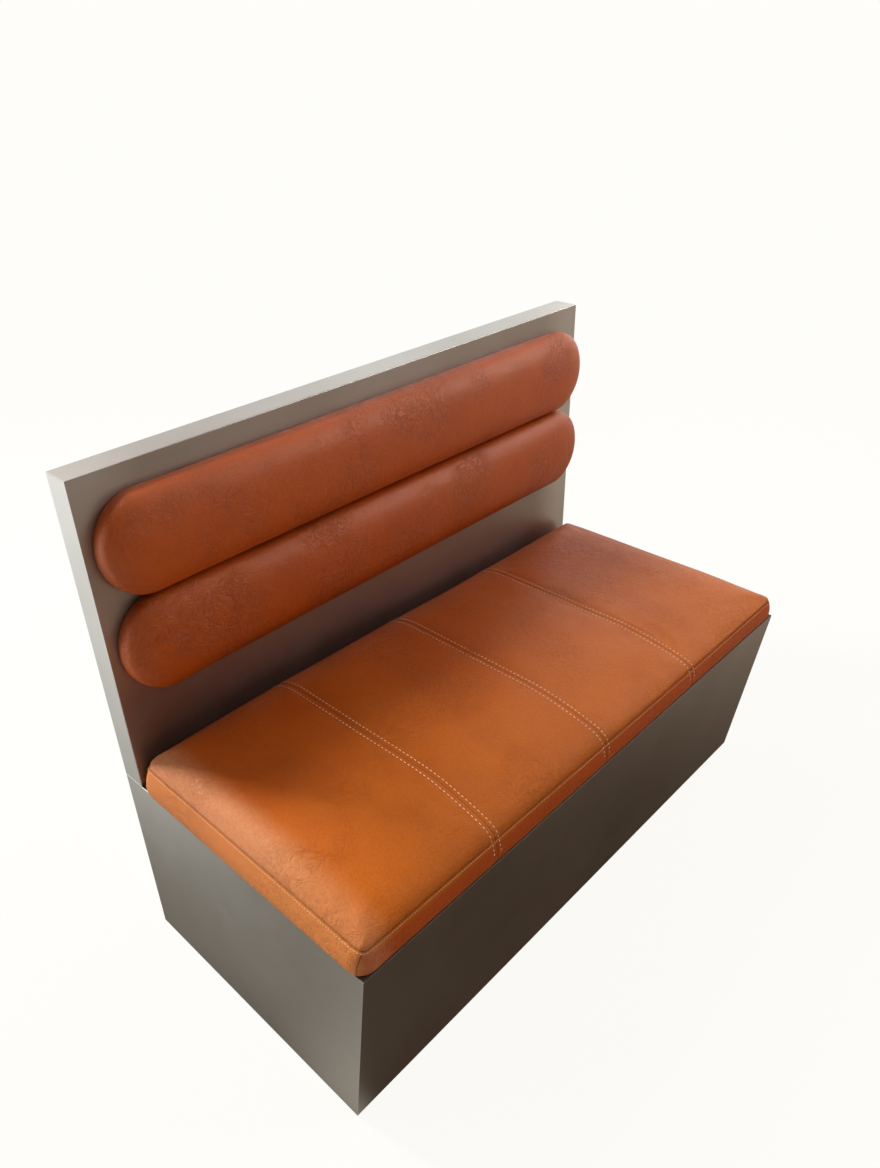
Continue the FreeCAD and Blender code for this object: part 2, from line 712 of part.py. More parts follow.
# Battens under the seat board drop between the plinth's sides
def makeBatten(name, side):
    points = rectangleOutline(battenLow, f"({battenLow} + Sizes.battenLength)", battenUnderside, seatUnderside)
    body = crosswisePiece(f"seat_{name}_batten", points, sideStart(side, battenInner, "Sizes.battenWidth"),
                          "Sizes.battenWidth")
    centres = [(f"({side} * {battenCentre})", row) for row in battenRows]
    addPocket(body, circleSketch(body, "XY_Plane", battenUnderside, centres, screwHole), "Sizes.battenWidth")
    recess = circleSketch(body, "XY_Plane", battenUnderside, centres, "(Sizes.screwHeadRadius + Sizes.screwClearance)")
    addPocket(body, recess, "Sizes.screwHeadHeight")


def uprightScrew(x, y, bottom, length):
    head = Part.makeCylinder(size("screwHeadRadius"), size("screwHeadHeight"), FreeCAD.Vector(x, y, bottom))
    shank = Part.makeCylinder(size("screwRadius"), length, FreeCAD.Vector(x, y, bottom))
    return head.fuse(shank).removeSplitter()


def makeBattenScrews():
    bottom = evaluate(battenUnderside)
    length = size("battenWidth") + size("seatBoardThickness") / 2
    screws = [uprightScrew(evaluate(x), evaluate(y), bottom, length) for x, y in battenScrewCentres()]
    pieces.append(shapeFeature("seat_batten_screws", Part.makeCompound(screws)))


# Nylon glides under the floor rails, each held by one screw in a recess
def glideCentres():
    return [(evaluate(place), evaluate(row)) for row in glideRows for place in glidePlaces]


def makeGlides():
    glides = []
    for x, y in glideCentres():
        disc = Part.makeCylinder(size("glideRadius"), size("glideHeight"), FreeCAD.Vector(x, y, 0))
        rim = [edge for edge in disc.Edges if edge.Closed and edge.BoundBox.ZMax < size("glideHeight") / 2]
        disc = disc.makeChamfer(size("glideChamfer"), rim)
        recess = Part.makeCylinder(size("screwHeadRadius") + size("screwClearance"), size("glideHeadRecess"),
                                   FreeCAD.Vector(x, y, 0))
        hole = Part.makeCylinder(size("screwRadius") + size("screwClearance"), size("glideHeight"),
                                 FreeCAD.Vector(x, y, 0))
        glides.append(disc.cut(recess.fuse(hole)))
    pieces.append(shapeFeature("floor_glides", Part.makeCompound(glides)))


def makeGlideScrews():
    bottom = size("glideHeadRecess") - size("screwHeadHeight")
    length = size("glideHeight") - bottom + size("screwBite")
    screws = [uprightScrew(x, y, bottom, length) for x, y in glideCentres()]
    pieces.append(shapeFeature("floor_glide_screws", Part.makeCompound(screws)))


# Bolts run outwards from inside the tubes' inner walls to nuts in the sides
def boltPlaces():
    places = []
    for side in sides.values():
        for height in allBoltHeights:
            across, up = boltCentre(height)
            places.append((side, evaluate(across), evaluate(up)))
    return places


def hexBar(x, y, z, side, across, length):
    corner = across / math.sqrt(3)
    turns = [math.radians(60 * index) for index in range(7)]
    points = [FreeCAD.Vector(x, y + corner * math.cos(turn), z + corner * math.sin(turn)) for turn in turns]
    return Part.Face(Part.makePolygon(points)).extrude(FreeCAD.Vector(side * length, 0, 0))


def roundBar(x, y, z, side, radius, length):
    return Part.makeCylinder(radius, length, FreeCAD.Vector(x, y, z), FreeCAD.Vector(side, 0, 0))


def makeUprightBolts():
    bolts, washers, nuts = [], [], []
    wall = evaluate(uprightInner)
    nutSeat = evaluate(f"{innerHalfWidth} + Sizes.boardThickness - Sizes.nutPocketDepth")
    under = wall - size("washerThickness")
    for side, y, z in boltPlaces():
        head = hexBar(side * (under - size("boltHeadHeight")), y, z, side, size("boltHeadAcross"),
                      size("boltHeadHeight"))
        shankLength = nutSeat + size("nutHeight") - under
        shank = roundBar(side * under, y, z, side, size("boltRadius"), shankLength)
        bolts.append(head.fuse(shank).removeSplitter())
        bore = size("boltRadius") + size("screwClearance")
        ring = roundBar(side * under, y, z, side, size("washerRadius"), size("washerThickness"))
        washers.append(ring.cut(roundBar(side * under, y, z, side, bore, size("washerThickness"))))
        nut = hexBar(side * nutSeat, y, z, side, size("boltHeadAcross"), size("nutHeight"))
        nuts.append(nut.cut(roundBar(side * nutSeat, y, z, side, bore, size("nutHeight"))))
    for label, group in (("upright_bolts", bolts), ("upright_washers", washers), ("upright_nuts", nuts)):
        pieces.append(shapeFeature(label, Part.makeCompound(group)))


# The whole booth
makeFrontSheet()
makeRearSheet()
makeFrontBoard()
makeRearBoard()
for name, side in sides.items():
    makeSideSheet(name, side)
    makeSideBoard(name, side)
    makeRib(name, side)
    makeFrontPost(name, side)
    makeUpright(name, side)
    makeStile(name, side)
    makeBatten(name, side)
makeFloorRail("base_front_floor_rail", frontRailLow, innerHalfWidth, glideRows[0])
makeFloorRail("base_rear_floor_rail", rearRailLow, uprightInner, glideRows[1])
makeBackRail("back_bottom_rail", "Sizes.baseHeight", uprightInner)
makeBackRail("back_middle_rail", middleRailBottom, uprightInner)
makeBackRail("back_top_rail", f"({frameTop} - Sizes.backRailHeight)", innerHalfWidth)
makeBackRearSheet()
screwHoles = makeRollScrewHoles()
makeFaceBoard(screwHoles)
makeBackTray(screwHoles)
for name, height in rollHeights().items():
    makeRoll(name, height)
makeRollScrews()
makeSeatCover()
makeSeatFoam()
makeSeatBoard()
makeBattenScrews()
makeGlides()
makeGlideScrews()
makeUprightBolts()
document.recompute()

# Nothing is written unless every object and every shape is sound
for thing in document.Objects:
    if "Invalid" in thing.State or "Error" in thing.State:
        raise RuntimeError(f"{thing.Label}: {thing.State}")
for piece in pieces:
    if piece.Shape.isNull() or not piece.Shape.isValid() or not piece.Shape.Solids:
        raise RuntimeError(f"{piece.Label}: no sound shape")

os.makedirs("parts", exist_ok=True)
for piece in pieces:
    piece.Shape.exportStep(os.path.join("parts", f"{piece.Label}.step"))
    print(piece.Label, len(piece.Shape.Solids), round(piece.Shape.Volume / 1000, 1), "cm3")
print(len(pieces), "nodes")
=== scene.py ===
import math
import bmesh
import bpy
from mathutils import Euler, Matrix, Vector, noise
from mathutils.bvhtree import BVHTree


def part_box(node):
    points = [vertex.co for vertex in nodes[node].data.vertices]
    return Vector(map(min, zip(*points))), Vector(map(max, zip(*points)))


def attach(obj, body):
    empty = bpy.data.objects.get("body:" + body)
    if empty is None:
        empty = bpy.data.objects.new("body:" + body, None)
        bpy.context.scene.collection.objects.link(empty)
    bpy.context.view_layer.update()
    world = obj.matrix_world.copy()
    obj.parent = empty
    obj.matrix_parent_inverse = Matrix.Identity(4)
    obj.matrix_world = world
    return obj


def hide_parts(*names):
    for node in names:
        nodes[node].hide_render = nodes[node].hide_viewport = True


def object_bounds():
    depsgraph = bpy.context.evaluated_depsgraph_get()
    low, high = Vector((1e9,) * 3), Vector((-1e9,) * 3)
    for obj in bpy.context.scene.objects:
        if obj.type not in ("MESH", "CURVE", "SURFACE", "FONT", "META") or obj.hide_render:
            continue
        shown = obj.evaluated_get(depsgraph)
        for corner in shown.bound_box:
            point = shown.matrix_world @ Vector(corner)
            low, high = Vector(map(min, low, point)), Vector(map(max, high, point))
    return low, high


# Restaurant booth: steel-clad plinth and back, two padded rolls and a lift-out seat.
# Metres; X along the width, -Y is the front, +Z is up.
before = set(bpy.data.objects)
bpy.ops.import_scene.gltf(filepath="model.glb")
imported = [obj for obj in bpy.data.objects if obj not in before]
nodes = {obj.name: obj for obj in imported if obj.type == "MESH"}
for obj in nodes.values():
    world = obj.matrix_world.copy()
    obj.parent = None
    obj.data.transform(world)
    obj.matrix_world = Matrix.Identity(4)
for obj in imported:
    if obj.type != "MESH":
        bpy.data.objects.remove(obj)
cadLow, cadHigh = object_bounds()
scene = bpy.context.scene
print("frame loaded:", len(nodes), "nodes")

# Sizes that several pieces and finishes share, read from the frame where it has them
booth = {
    "halfWidth": cadHigh[0],
    "frontFace": cadLow[1],
    "plinthTop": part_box("base_front_sheet")[1].z,
    "overall": cadHigh[2],
    "backFoot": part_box("back_face_tray")[0].y,
    "rake": math.radians(7.1),
    "crossSeams": (-0.337, -0.028, 0.275),
}


# Camera, floor and light

view = {
    "place": (-1.1276, -0.7454, 1.3791),
    "turn": (53.438, 1.457, -42.804),
    "lens": 26.08,
    "sensorWidth": 36,
    "shift": (0.1273, 0.0697),
    "clipEnd": 60,
}

stage = {
    "floorRadius": 14.0,
    "floorSides": 96,
    "floorColour": (0.80, 0.79, 0.77, 1),
    "speckle": (0.70, 0.69, 0.67, 1),
    "speckleScale": 60,
    "speckleShare": 0.05,
    "roughness": 0.6,
    "paper": (0.992, 0.985, 0.960, 1),  # what the camera sees of the bare floor and of the backdrop
    "paperShare": 0.94,
    "fade": (1.6, 4.5),  # where the floor turns wholly to paper
    # The floor inside the plinth stays plain, out to these distances from its middle
    "insideX": (0.626, 0.616),
    "insideY": (0.276, 0.266),
    "insideMiddle": -0.033,
    # What the steel mirrors: a dim warm floor in front, paler ones to both sides, and a room to match.
    # A slant says how the border between two floors leans with Y, a span where it starts and ends
    "dimFloor": (0.064, 0.040, 0.024, 1),
    "farFloor": (0.58, 0.46, 0.36, 1),
    "farSlant": 0.30,
    "farSpan": (0.30, 2.6),
    "leftFloor": (0.24, 0.22, 0.185, 1),
    "leftSlant": 0.15,
    "leftSpan": (-0.50, -0.72),
    "cornerFloor": (0.46, 0.43, 0.38, 1),
    "cornerSpanX": (-0.58, -0.66),
    "cornerSpanY": (-0.08, -0.34),
    "brightFloor": (0.97, 1.0, 0.98, 1),
    "brightSlant": 0.5,
    "brightSpan": (-0.82, -1.60),
    "dimRoom": (0.20, 0.165, 0.14, 1),
    "brightRoom": (0.98, 1.0, 1.0, 1),
    "brightWay": (0.40, 0.85, 0.35),
    "roomSpan": (-0.10, 0.86),
    "softShare": 0.74,  # how much of the room's light reaches matt surfaces
}

# Each lamp: where it stands, what it looks at, its width and height, its watts and its colour
lamps = {
    "keyLamp": ((-1.15, 2.15, 2.75), (0.0, 0.0, 0.45), (0.5, 1.7), 158, (1.0, 0.96, 0.90)),
    "windowLamp": ((-2.6, 1.5, 0.75), (-0.3, 0.1, 0.4), (1.2, 1.5), 27, (0.90, 0.95, 1.0)),
    "rimLamp": ((3.2, 0.6, 1.3), (0.3, 0.0, 0.5), (2.0, 1.6), 16, (1.0, 0.96, 0.90)),
    "fillLamp": ((2.4, -1.5, 2.4), (0.0, 0.2, 0.75), (2.0, 0.7), 56, (1.0, 0.94, 0.92)),
    "topLamp": ((0.0, -0.5, 2.7), (0.0, 0.1, 0.6), (2.4, 0.8), 6, (1.0, 0.96, 0.90)),
}


def linked(name, data):
    made = bpy.data.objects.new(name, data)
    scene.collection.objects.link(made)
    return made


def makeCamera():
    lens = bpy.data.cameras.new("photoCamera")
    lens.sensor_width = view["sensorWidth"]
    lens.lens = view["lens"]
    lens.shift_x, lens.shift_y = view["shift"]
    lens.clip_end = view["clipEnd"]
    made = linked("photoCamera", lens)
    made.location = view["place"]
    made.rotation_euler = Euler([math.radians(turn) for turn in view["turn"]])
    scene.camera = made


def makeLamps():
    for name, (place, target, (width, height), watts, colour) in lamps.items():
        lamp = bpy.data.lights.new(name, "AREA")
        lamp.shape = "RECTANGLE"
        lamp.size, lamp.size_y = width, height
        lamp.energy = watts
        lamp.color = colour
        made = linked(name, lamp)
        made.location = place
        made.rotation_euler = (Vector(target) - Vector(place)).to_track_quat("-Z", "Y").to_euler()


# Shader building: a Value is one socket, and plain expressions on it add Math nodes

class Value:
    def __init__(self, finish, socket):
        self.finish, self.socket = finish, socket

    def maths(self, operation, *terms):
        return self.finish.maths(operation, *terms)

    def __add__(self, other):
        return self.maths("ADD", self, other)

    def __radd__(self, other):
        return self.maths("ADD", other, self)

    def __sub__(self, other):
        return self.maths("SUBTRACT", self, other)

    def __rsub__(self, other):
        return self.maths("SUBTRACT", other, self)

    def __mul__(self, other):
        return self.maths("MULTIPLY", self, other)

    def __rmul__(self, other):
        return self.maths("MULTIPLY", other, self)

    def __pow__(self, other):
        return self.maths("POWER", self, other)

    def __abs__(self):
        return self.maths("ABSOLUTE", self)


class Finish:
    def __init__(self, name, tree=None):
        if tree is None:
            self.material = bpy.data.materials.new(name)
            self.material.use_nodes = True
            tree = self.material.node_tree
        self.tree = tree
        self.tree.nodes.clear()
        self.place = self.node("TexCoord", output=3)  # Object coordinates; in the world, the ray's way

    # Any node: its type, its settings, what its sockets get, and which output is wanted
    def node(self, kind, settings=None, inputs=None, output=0):
        made = self.tree.nodes.new("ShaderNode" + kind)
        for name, value in (settings or {}).items():
            if name == "stops":
                for index, (spot, colour) in enumerate(value):
                    steps = made.color_ramp.elements
                    step = steps[index] if index < 2 else steps.new(spot)
                    step.position, step.color = spot, colour
            else:
                setattr(made, name, value)
        for name, value in (inputs or {}).items():
            if isinstance(value, Value):
                self.tree.links.new(value.socket, made.inputs[name])
            else:
                made.inputs[name].default_value = value
        return Value(self, made.outputs[output]) if made.outputs else None

    def maths(self, operation, *terms):
        return self.node("Math", {"operation": operation}, dict(enumerate(terms)))

    def scaled(self, vector, factors):
        return self.node("VectorMath", {"operation": "MULTIPLY"}, {0: vector, 1: factors})

    def shifted(self, vector, other):
        return self.node("VectorMath", {"operation": "ADD"}, {0: vector, 1: other})

    # A vector moved about by noise of a scale, up to a distance
    def wandering(self, vector, scale, distance):
        cloud = self.node("TexNoise", None, {"Vector": vector, "Scale": scale}, output=1)
        return self.shifted(vector, self.scaled(cloud, (distance, distance, distance)))

    def part(self, vector, axis):
        return self.node("SeparateXYZ", None, {0: vector}, output="XYZ".index(axis))

    def clouds(self, scale, detail=3.0, rough=0.55, bend=0.0, vector=None):
        sockets = {"Vector": vector or self.place, "Scale": scale, "Detail": detail,
                   "Roughness": rough, "Distortion": bend}
        return self.node("TexNoise", None, sockets)

    # 0 on the borders of irregular cells, more towards their middles
    def cells(self, scale, vector):
        return self.node("TexVoronoi", {"feature": "DISTANCE_TO_EDGE"}, {"Vector": vector, "Scale": scale})

    def ray(self, kind):
        return self.node("LightPath", output=kind)

    # 0 at low and 1 at high, eased; the other way round where low is above high
    def ramp(self, value, low, high):
        sockets = {"Value": value, "From Min": low, "From Max": high}
        return self.node("MapRange", {"interpolation_type": "SMOOTHSTEP"}, sockets)

    def mix(self, share, first, second):
        return self.node("Mix", {"data_type": "RGBA"}, {0: share, 6: first, 7: second}, output=2)

    def bump(self, height, distance, strength=1.0, under=None):
        sockets = {"Height": height, "Distance": distance, "Strength": strength}
        if under is not None:
            sockets["Normal"] = under
        return self.node("Bump", None, sockets)

    def close(self, sockets):
        shader = self.node("BsdfPrincipled", None, sockets)
        self.node("OutputMaterial", None, {"Surface": shader})
        return self.material


def tone(red, green, blue):
    return (red, green, blue, 1)


cameraRay, glossyRay = 0, 3  # places of the Light Path node's outputs


# Matt to light, near white to the camera; metal mirrors floors of its own
def makePaper():
    paper = Finish("paperFloor")
    x, y = paper.part(paper.place, "X"), paper.part(paper.place, "Y")
    out = paper.node("VectorMath", {"operation": "LENGTH"}, {0: paper.place}, output=1)
    far = paper.ramp(out, *stage["fade"])
    speckle = paper.clouds(stage["speckleScale"], 4)
    colour = paper.mix(speckle * stage["speckleShare"], stage["floorColour"], stage["speckle"])
    matt = paper.node("BsdfDiffuse", None, {"Color": colour, "Roughness": stage["roughness"]})
    glow = paper.node("Emission", None, {"Color": stage["paper"], "Strength": 1.0})
    insideY = paper.ramp(abs(y - stage["insideMiddle"]), *stage["insideY"])
    inside = paper.ramp(abs(x), *stage["insideX"]) * insideY
    share = paper.ray(cameraRay) * (stage["paperShare"] + far * (1 - stage["paperShare"])) * (1 - inside)
    seen = paper.node("MixShader", None, {0: share, 1: matt, 2: glow})

    mirrored = stage["dimFloor"]
    for name in ("far", "left", "corner", "bright"):
        if name == "corner":
            share = paper.ramp(y, *stage["cornerSpanY"]) * paper.ramp(x, *stage["cornerSpanX"])
        else:
            share = paper.ramp(x - y * stage[name + "Slant"], *stage[name + "Span"])
        mirrored = paper.mix(share, mirrored, stage[name + "Floor"])
    reflection = paper.node("Emission", None, {"Color": mirrored, "Strength": 1.0})
    both = paper.node("MixShader", None, {0: paper.ray(glossyRay), 1: seen, 2: reflection})
    paper.node("OutputMaterial", None, {"Surface": both})
    return paper.material


def makeFloor():
    bm = bmesh.new()
    bmesh.ops.create_circle(bm, cap_ends=True, segments=stage["floorSides"], radius=stage["floorRadius"])
    mesh = bpy.data.meshes.new("floor")
    bm.to_mesh(mesh)
    bm.free()
    mesh.materials.append(makePaper())
    linked("floor", mesh)


# The room around: dim in front, bright behind, and near white to the camera
def makeRoom():
    world = bpy.data.worlds.new("studio")
    world.use_nodes = True
    scene.world = world
    sky = Finish("studio", world.node_tree)
    ways = {0: sky.place, 1: stage["brightWay"]}
    toward = sky.node("VectorMath", {"operation": "DOT_PRODUCT"}, ways, output=1)
    room = sky.mix(sky.ramp(toward, *stage["roomSpan"]), stage["dimRoom"], stage["brightRoom"])
    share = sky.ray(glossyRay) * (1 - stage["softShare"]) + stage["softShare"]
    light = sky.node("Background", None, {"Color": room, "Strength": share})
    backdrop = sky.node("Background", None, {"Color": stage["paper"], "Strength": 1.0})
    both = sky.node("MixShader", None, {0: sky.ray(cameraRay), 1: light, 2: backdrop})
    sky.node("OutputWorld", None, {"Surface": both})


scene.view_settings.view_transform = "Standard"
makeCamera()
makeFloor()
makeRoom()
makeLamps()
print("camera, floor and lamps ready")


# Finishes

seatLook = {
    "colour": tone(0.325, 0.054, 0.0012),
    "fore": tone(0.43, 0.104, 0.007),  # painted light: the lit tone towards the front; colour is the tone of the shaded rear
    "foreSpan": (0.10, -0.22),
    "shade": tone(0.24, 0.036, 0.001),
    "glow": tone(0.52, 0.130, 0.012),
    "crease": tone(0.06, 0.012, 0.003),
    "roughness": 0.40,
    "shine": 0.17,
    "shineTint": (1.0, 0.70, 0.50, 1),
    "wrinkles": 0.55,
    "mottle": 0.38,
}
# Painted shade: the rolls' leather is the seat's, in the redder tones that it shows in their shade
rollLook = seatLook | {
    "colour": tone(0.42, 0.066, 0.0006),
    "fore": tone(0.44, 0.072, 0.0008),
    "shade": tone(0.21, 0.028, 0.001),
    "glow": tone(0.40, 0.074, 0.004),
    "shine": 0.54,
    "shineTint": (1.0, 0.72, 0.58, 1),
    "wrinkles": 0.95,
    "mottle": 0.75,
}

# The pattern that both leathers share: scales of its parts, spans of their masks and how much each shows
leather = {
    "grainScale": 620,
    "grainBend": (140.0, 0.0016),
    "grainGap": (0.0, 0.30),
    "grainShare": 0.18,
    "poreScale": 2600,
    "crackScale": 230,
    "crackBend": (30.0, 0.012),
    "crackWidth": (0.10, 0.0),
    "crackShare": 0.16,
    "foldScale": 46,
    "foldThinness": 14,
    "foldPatch": (0.40, 0.62),
    "foldShare": 0.30,
    "fleckScale": 240,
    "fleckSpan": (0.46, 0.62),
    "fleckShare": 0.14,
    "cloudScale": 3.2,
    "cloudSpan": (0.35, 0.70),
    "cloudShare": 0.35,
    "driftScale": 9,
    "driftSpan": (0.42, 0.75),
    "driftShare": 0.25,
    "sheenScale": 24,
    "sheenSwing": 0.16,
    "grainBump": (0.00020, 0.85),
    "softBump": (0.0016, 0.60),
}

# Marks of the seat alone: painted shade darkens its front border, a painted highlight pales the top of its
# left end, and a painted highlight lightens that end's border
seatMarks = {
    # Painted shade on the front border, below its seam
    "under": tone(0.34, 0.046, 0.001),
    "frontShadeTop": (0.406, 0.396),
    "frontShadeFront": (-0.290, -0.302),
    "frontShadeShare": 0.85,
    # Painted highlight on the top of the left end, speckled, stronger towards the rear
    "paintedLight": tone(0.82, 0.54, 0.31),
    "highlightSpan": (-0.556, -0.610),
    "highlightAlong": (-0.27, -0.04),
    "highlightShare": 0.14,
    "highlightMore": 0.10,
    "highlightSpeckleScale": 190,
    "polish": 0.5,
    # Painted highlight on the left end's border
    "litEndBorder": tone(0.82, 0.40, 0.15),
    "litEndSpan": (-0.6235, -0.6265),
    "litEndShare": 0.24,
    # The upright seam at the front left corner
    "cornerSeam": -0.301,
    "cornerSeamWidth": (0.0010, 0.0004),
    "cornerSeamFrom": (-0.615, -0.622),
    "cornerSeamTop": (0.407, 0.403),
    "cornerSeamShare": 0.6,
    # Puckers between the two rows of stitches of a cross seam
    "puckerSpan": (0.0095, 0.0070),
    "puckerPitch": 0.0080,
    "puckerShare": 0.07,
}


def markSeat(skin, place, colour):
    marks = seatMarks
    x, y, z = [skin.part(skin.place, axis) for axis in "XYZ"]
    # Painted shade: the front border, below its seam, turns darker
    under = skin.ramp(z, *marks["frontShadeTop"]) * skin.ramp(y, *marks["frontShadeFront"])
    colour = skin.mix(under * marks["frontShadeShare"], colour, marks["under"])
    # Painted highlight on the top of the left end: speckled, stronger towards the end and the rear, kept off
    # the end's border
    highlightSpeckle = skin.clouds(marks["highlightSpeckleScale"], 4, 0.65, vector=place) * 1.1 + 0.35
    # Painted highlight on the left end's border; the highlight on the top keeps off it
    border = skin.ramp(x, *marks["litEndSpan"])
    share = marks["highlightShare"] + skin.ramp(y, *marks["highlightAlong"]) * marks["highlightMore"]
    paintedLight = skin.ramp(x, *marks["highlightSpan"]) * (1 - border) * highlightSpeckle * share
    colour = skin.mix(paintedLight, colour, marks["paintedLight"])
    colour = skin.mix(border * marks["litEndShare"], colour, marks["litEndBorder"])
    seam = skin.ramp(abs(y - marks["cornerSeam"]), *marks["cornerSeamWidth"])
    seam = seam * skin.ramp(x, *marks["cornerSeamFrom"]) * skin.ramp(z, *marks["cornerSeamTop"])
    return colour, paintedLight, seam * marks["cornerSeamShare"]


def makeLeather(name, look, seed, seams=()):
    skin = Finish(name)
    place = skin.shifted(skin.place, seed)
    pebble = skin.cells(leather["grainScale"], skin.wandering(place, *leather["grainBend"]))
    pebble = skin.ramp(pebble, *leather["grainGap"])
    cracks = skin.cells(leather["crackScale"], skin.wandering(place, *leather["crackBend"]))
    cracks = skin.ramp(cracks, *leather["crackWidth"])
    fold = skin.clouds(leather["foldScale"], 5, 0.62, 1.6, place)
    patch = skin.ramp(skin.clouds(7, 2, vector=place), *leather["foldPatch"])
    wrinkle = (1 - abs(fold * 2 - 1)) ** leather["foldThinness"] * patch * look["wrinkles"]
    fleck = skin.ramp(skin.clouds(leather["fleckScale"], 3, 0.6, vector=place), *leather["fleckSpan"])
    cloud = skin.ramp(skin.clouds(leather["cloudScale"], 3, vector=place), *leather["cloudSpan"])
    drift = skin.ramp(skin.clouds(leather["driftScale"], 2, vector=place), *leather["driftSpan"])

    # Painted light and shade: the colour turns from the shaded rear tone to the lit front tone along Y
    fore = skin.ramp(skin.part(skin.place, "Y"), *look["foreSpan"])
    colour = skin.mix(fore, look["colour"], look["fore"])
    colour = skin.mix(cloud * leather["cloudShare"], colour, look["glow"])
    colour = skin.mix(drift * leather["driftShare"], colour, look["shade"])
    marked = (1 - pebble) * leather["grainShare"] + wrinkle * leather["foldShare"]
    marked = marked + cracks * leather["crackShare"] + fleck * leather["fleckShare"]
    colour = skin.mix(marked, colour, look["shade"])
    sheen = skin.clouds(leather["sheenScale"], 4, vector=place) * leather["sheenSwing"]
    roughness = look["roughness"] + sheen - leather["sheenSwing"] / 2 + (1 - pebble) * 0.06
    crease = skin.node("Attribute", {"attribute_name": "crease"}, output=2)
    if seams:
        # Painted shade on the front border and painted highlights on the left end; the highlight's mask also
        # lowers the roughness
        colour, paintedLight, cornerSeam = markSeat(skin, place, colour)
        roughness = roughness - paintedLight * seatMarks["polish"]
        crease = skin.maths("MAXIMUM", crease, cornerSeam)
    colour = skin.mix(crease, colour, look["crease"])

    height = pebble * 0.55 + skin.clouds(leather["poreScale"], 2, vector=place) * 0.25 - cracks * 0.9
    grain = skin.bump(height, *leather["grainBump"])
    soft = skin.clouds(30, 3, vector=place) * 0.6 - wrinkle + skin.clouds(210, 3, vector=place) * 0.10
    soft = soft + skin.clouds(85, 4, 0.6, vector=place) * look["mottle"]
    for seam in seams:
        strip = skin.ramp(abs(skin.part(skin.place, "X") - seam), *seatMarks["puckerSpan"])
        turns = skin.part(skin.place, "Y") * (2 * math.pi / seatMarks["puckerPitch"])
        soft = soft + strip * skin.maths("SINE", turns) * seatMarks["puckerShare"]
    return skin.close({
        "Base Color": colour, "Roughness": roughness, "Normal": skin.bump(soft, *leather["softBump"], grain),
        "Specular IOR Level": look["shine"], "Specular Tint": look["shineTint"],
    })


steelLook = {
    "colour": tone(0.56, 0.535, 0.495),
    "dull": tone(0.47, 0.44, 0.40),
    # Painted highlight along the folded edges
    "edge": tone(0.86, 0.85, 0.82),
    # Painted shade in the gap round the seat
    "gap": tone(0.05, 0.03, 0.02),
    # Painted shade: the darker tone of the back's face and top
    "paintedLight": tone(0.19, 0.13, 0.115),
    "roughness": 0.31,
    "lineShare": 0.22,
    "hazeScale": 2.3,
    "hazeSpan": (0.35, 0.68),
    "handScale": 9,
    "edgeHighlightSpan": (0.0016, 0.0004),
    "edgeHighlightShare": 0.25,
    "lineBump": (0.00004, 0.5),
    "dentScale": 5,
    "dentBump": (0.0012, 0.20),
    # Painted shade in the gap round the seat, as spans of the distances from the plinth's top, side and front
    "gapShadeTop": (0.0011, 0.0004),
    "gapShadeSide": (0.0002, 0.0010),
    "gapShadeFront": (-0.0001, 0.0006),
    "gapShadeShare": 0.92,
    "gapRoughness": 0.3,
    # Painted shade: the back's face is darker and browner away from its sides and, on the left, lower down;
    # its top is darker towards the left
    "faceSpan": (0.003, 0.0015),
    "innerSide": (0.02, 0.14),
    "lowTop": (0.24, 0.40),
    "lowSide": (0.3, -0.1),
    "faceShare": 0.34,
    "faceDown": (0.03, 0.12),
    "faceMore": 0.26,
    "topSpan": (0.002, 0.001),
    "topSide": (-0.10, -0.45),
    "topShare": 0.36,
}


# Satin steel with hazy patches, brushed along the axis whose stretch is small
def brushedSteel(metal, stretch):
    look = steelLook
    lines = metal.clouds(1.0, 3, 0.6, vector=metal.scaled(metal.place, stretch))
    haze = metal.ramp(metal.clouds(look["hazeScale"], 3), *look["hazeSpan"])
    hand = metal.clouds(look["handScale"], 4, 0.6, 0.8)
    colour = metal.mix(haze, look["colour"], look["dull"])
    colour = metal.mix(lines * look["lineShare"], colour, look["dull"])
    return colour, look["roughness"] + lines * 0.08 + hand * 0.10, lines


# Painted highlights: bright lines where the first face meets either of the others, all given as distances
def edgeHighlighted(metal, colour, first, *others):
    near, *rest = [metal.ramp(away, *steelLook["edgeHighlightSpan"]) for away in (first, *others)]
    edge = near * rest[0] + near * rest[1]
    return metal.mix(edge * steelLook["edgeHighlightShare"], colour, steelLook["edge"])


def closeSteel(metal, colour, roughness, lines):
    normal = metal.bump(lines, *steelLook["lineBump"])
    normal = metal.bump(metal.clouds(steelLook["dentScale"], 2), *steelLook["dentBump"], normal)
    return metal.close({"Base Color": colour, "Metallic": 1.0, "Roughness": roughness, "Normal": normal})


def makePlinthSteel(name, stretch):
    look = steelLook
    metal = Finish(name)
    colour, roughness, lines = brushedSteel(metal, stretch)
    fromSide = booth["halfWidth"] - abs(metal.part(metal.place, "X"))
    fromFront = metal.part(metal.place, "Y") - booth["frontFace"]
    fromTop = booth["plinthTop"] - metal.part(metal.place, "Z")
    colour = edgeHighlighted(metal, colour, fromSide, fromFront, fromTop)
    # Painted shade: the plinth's top flange turns dark in the gap round the seat
    gap = metal.ramp(fromTop, *look["gapShadeTop"]) * metal.ramp(fromSide, *look["gapShadeSide"])
    gap = gap * metal.ramp(fromFront, *look["gapShadeFront"])
    colour = metal.mix(gap * look["gapShadeShare"], colour, look["gap"])
    return closeSteel(metal, colour, roughness + gap * look["gapRoughness"], lines)


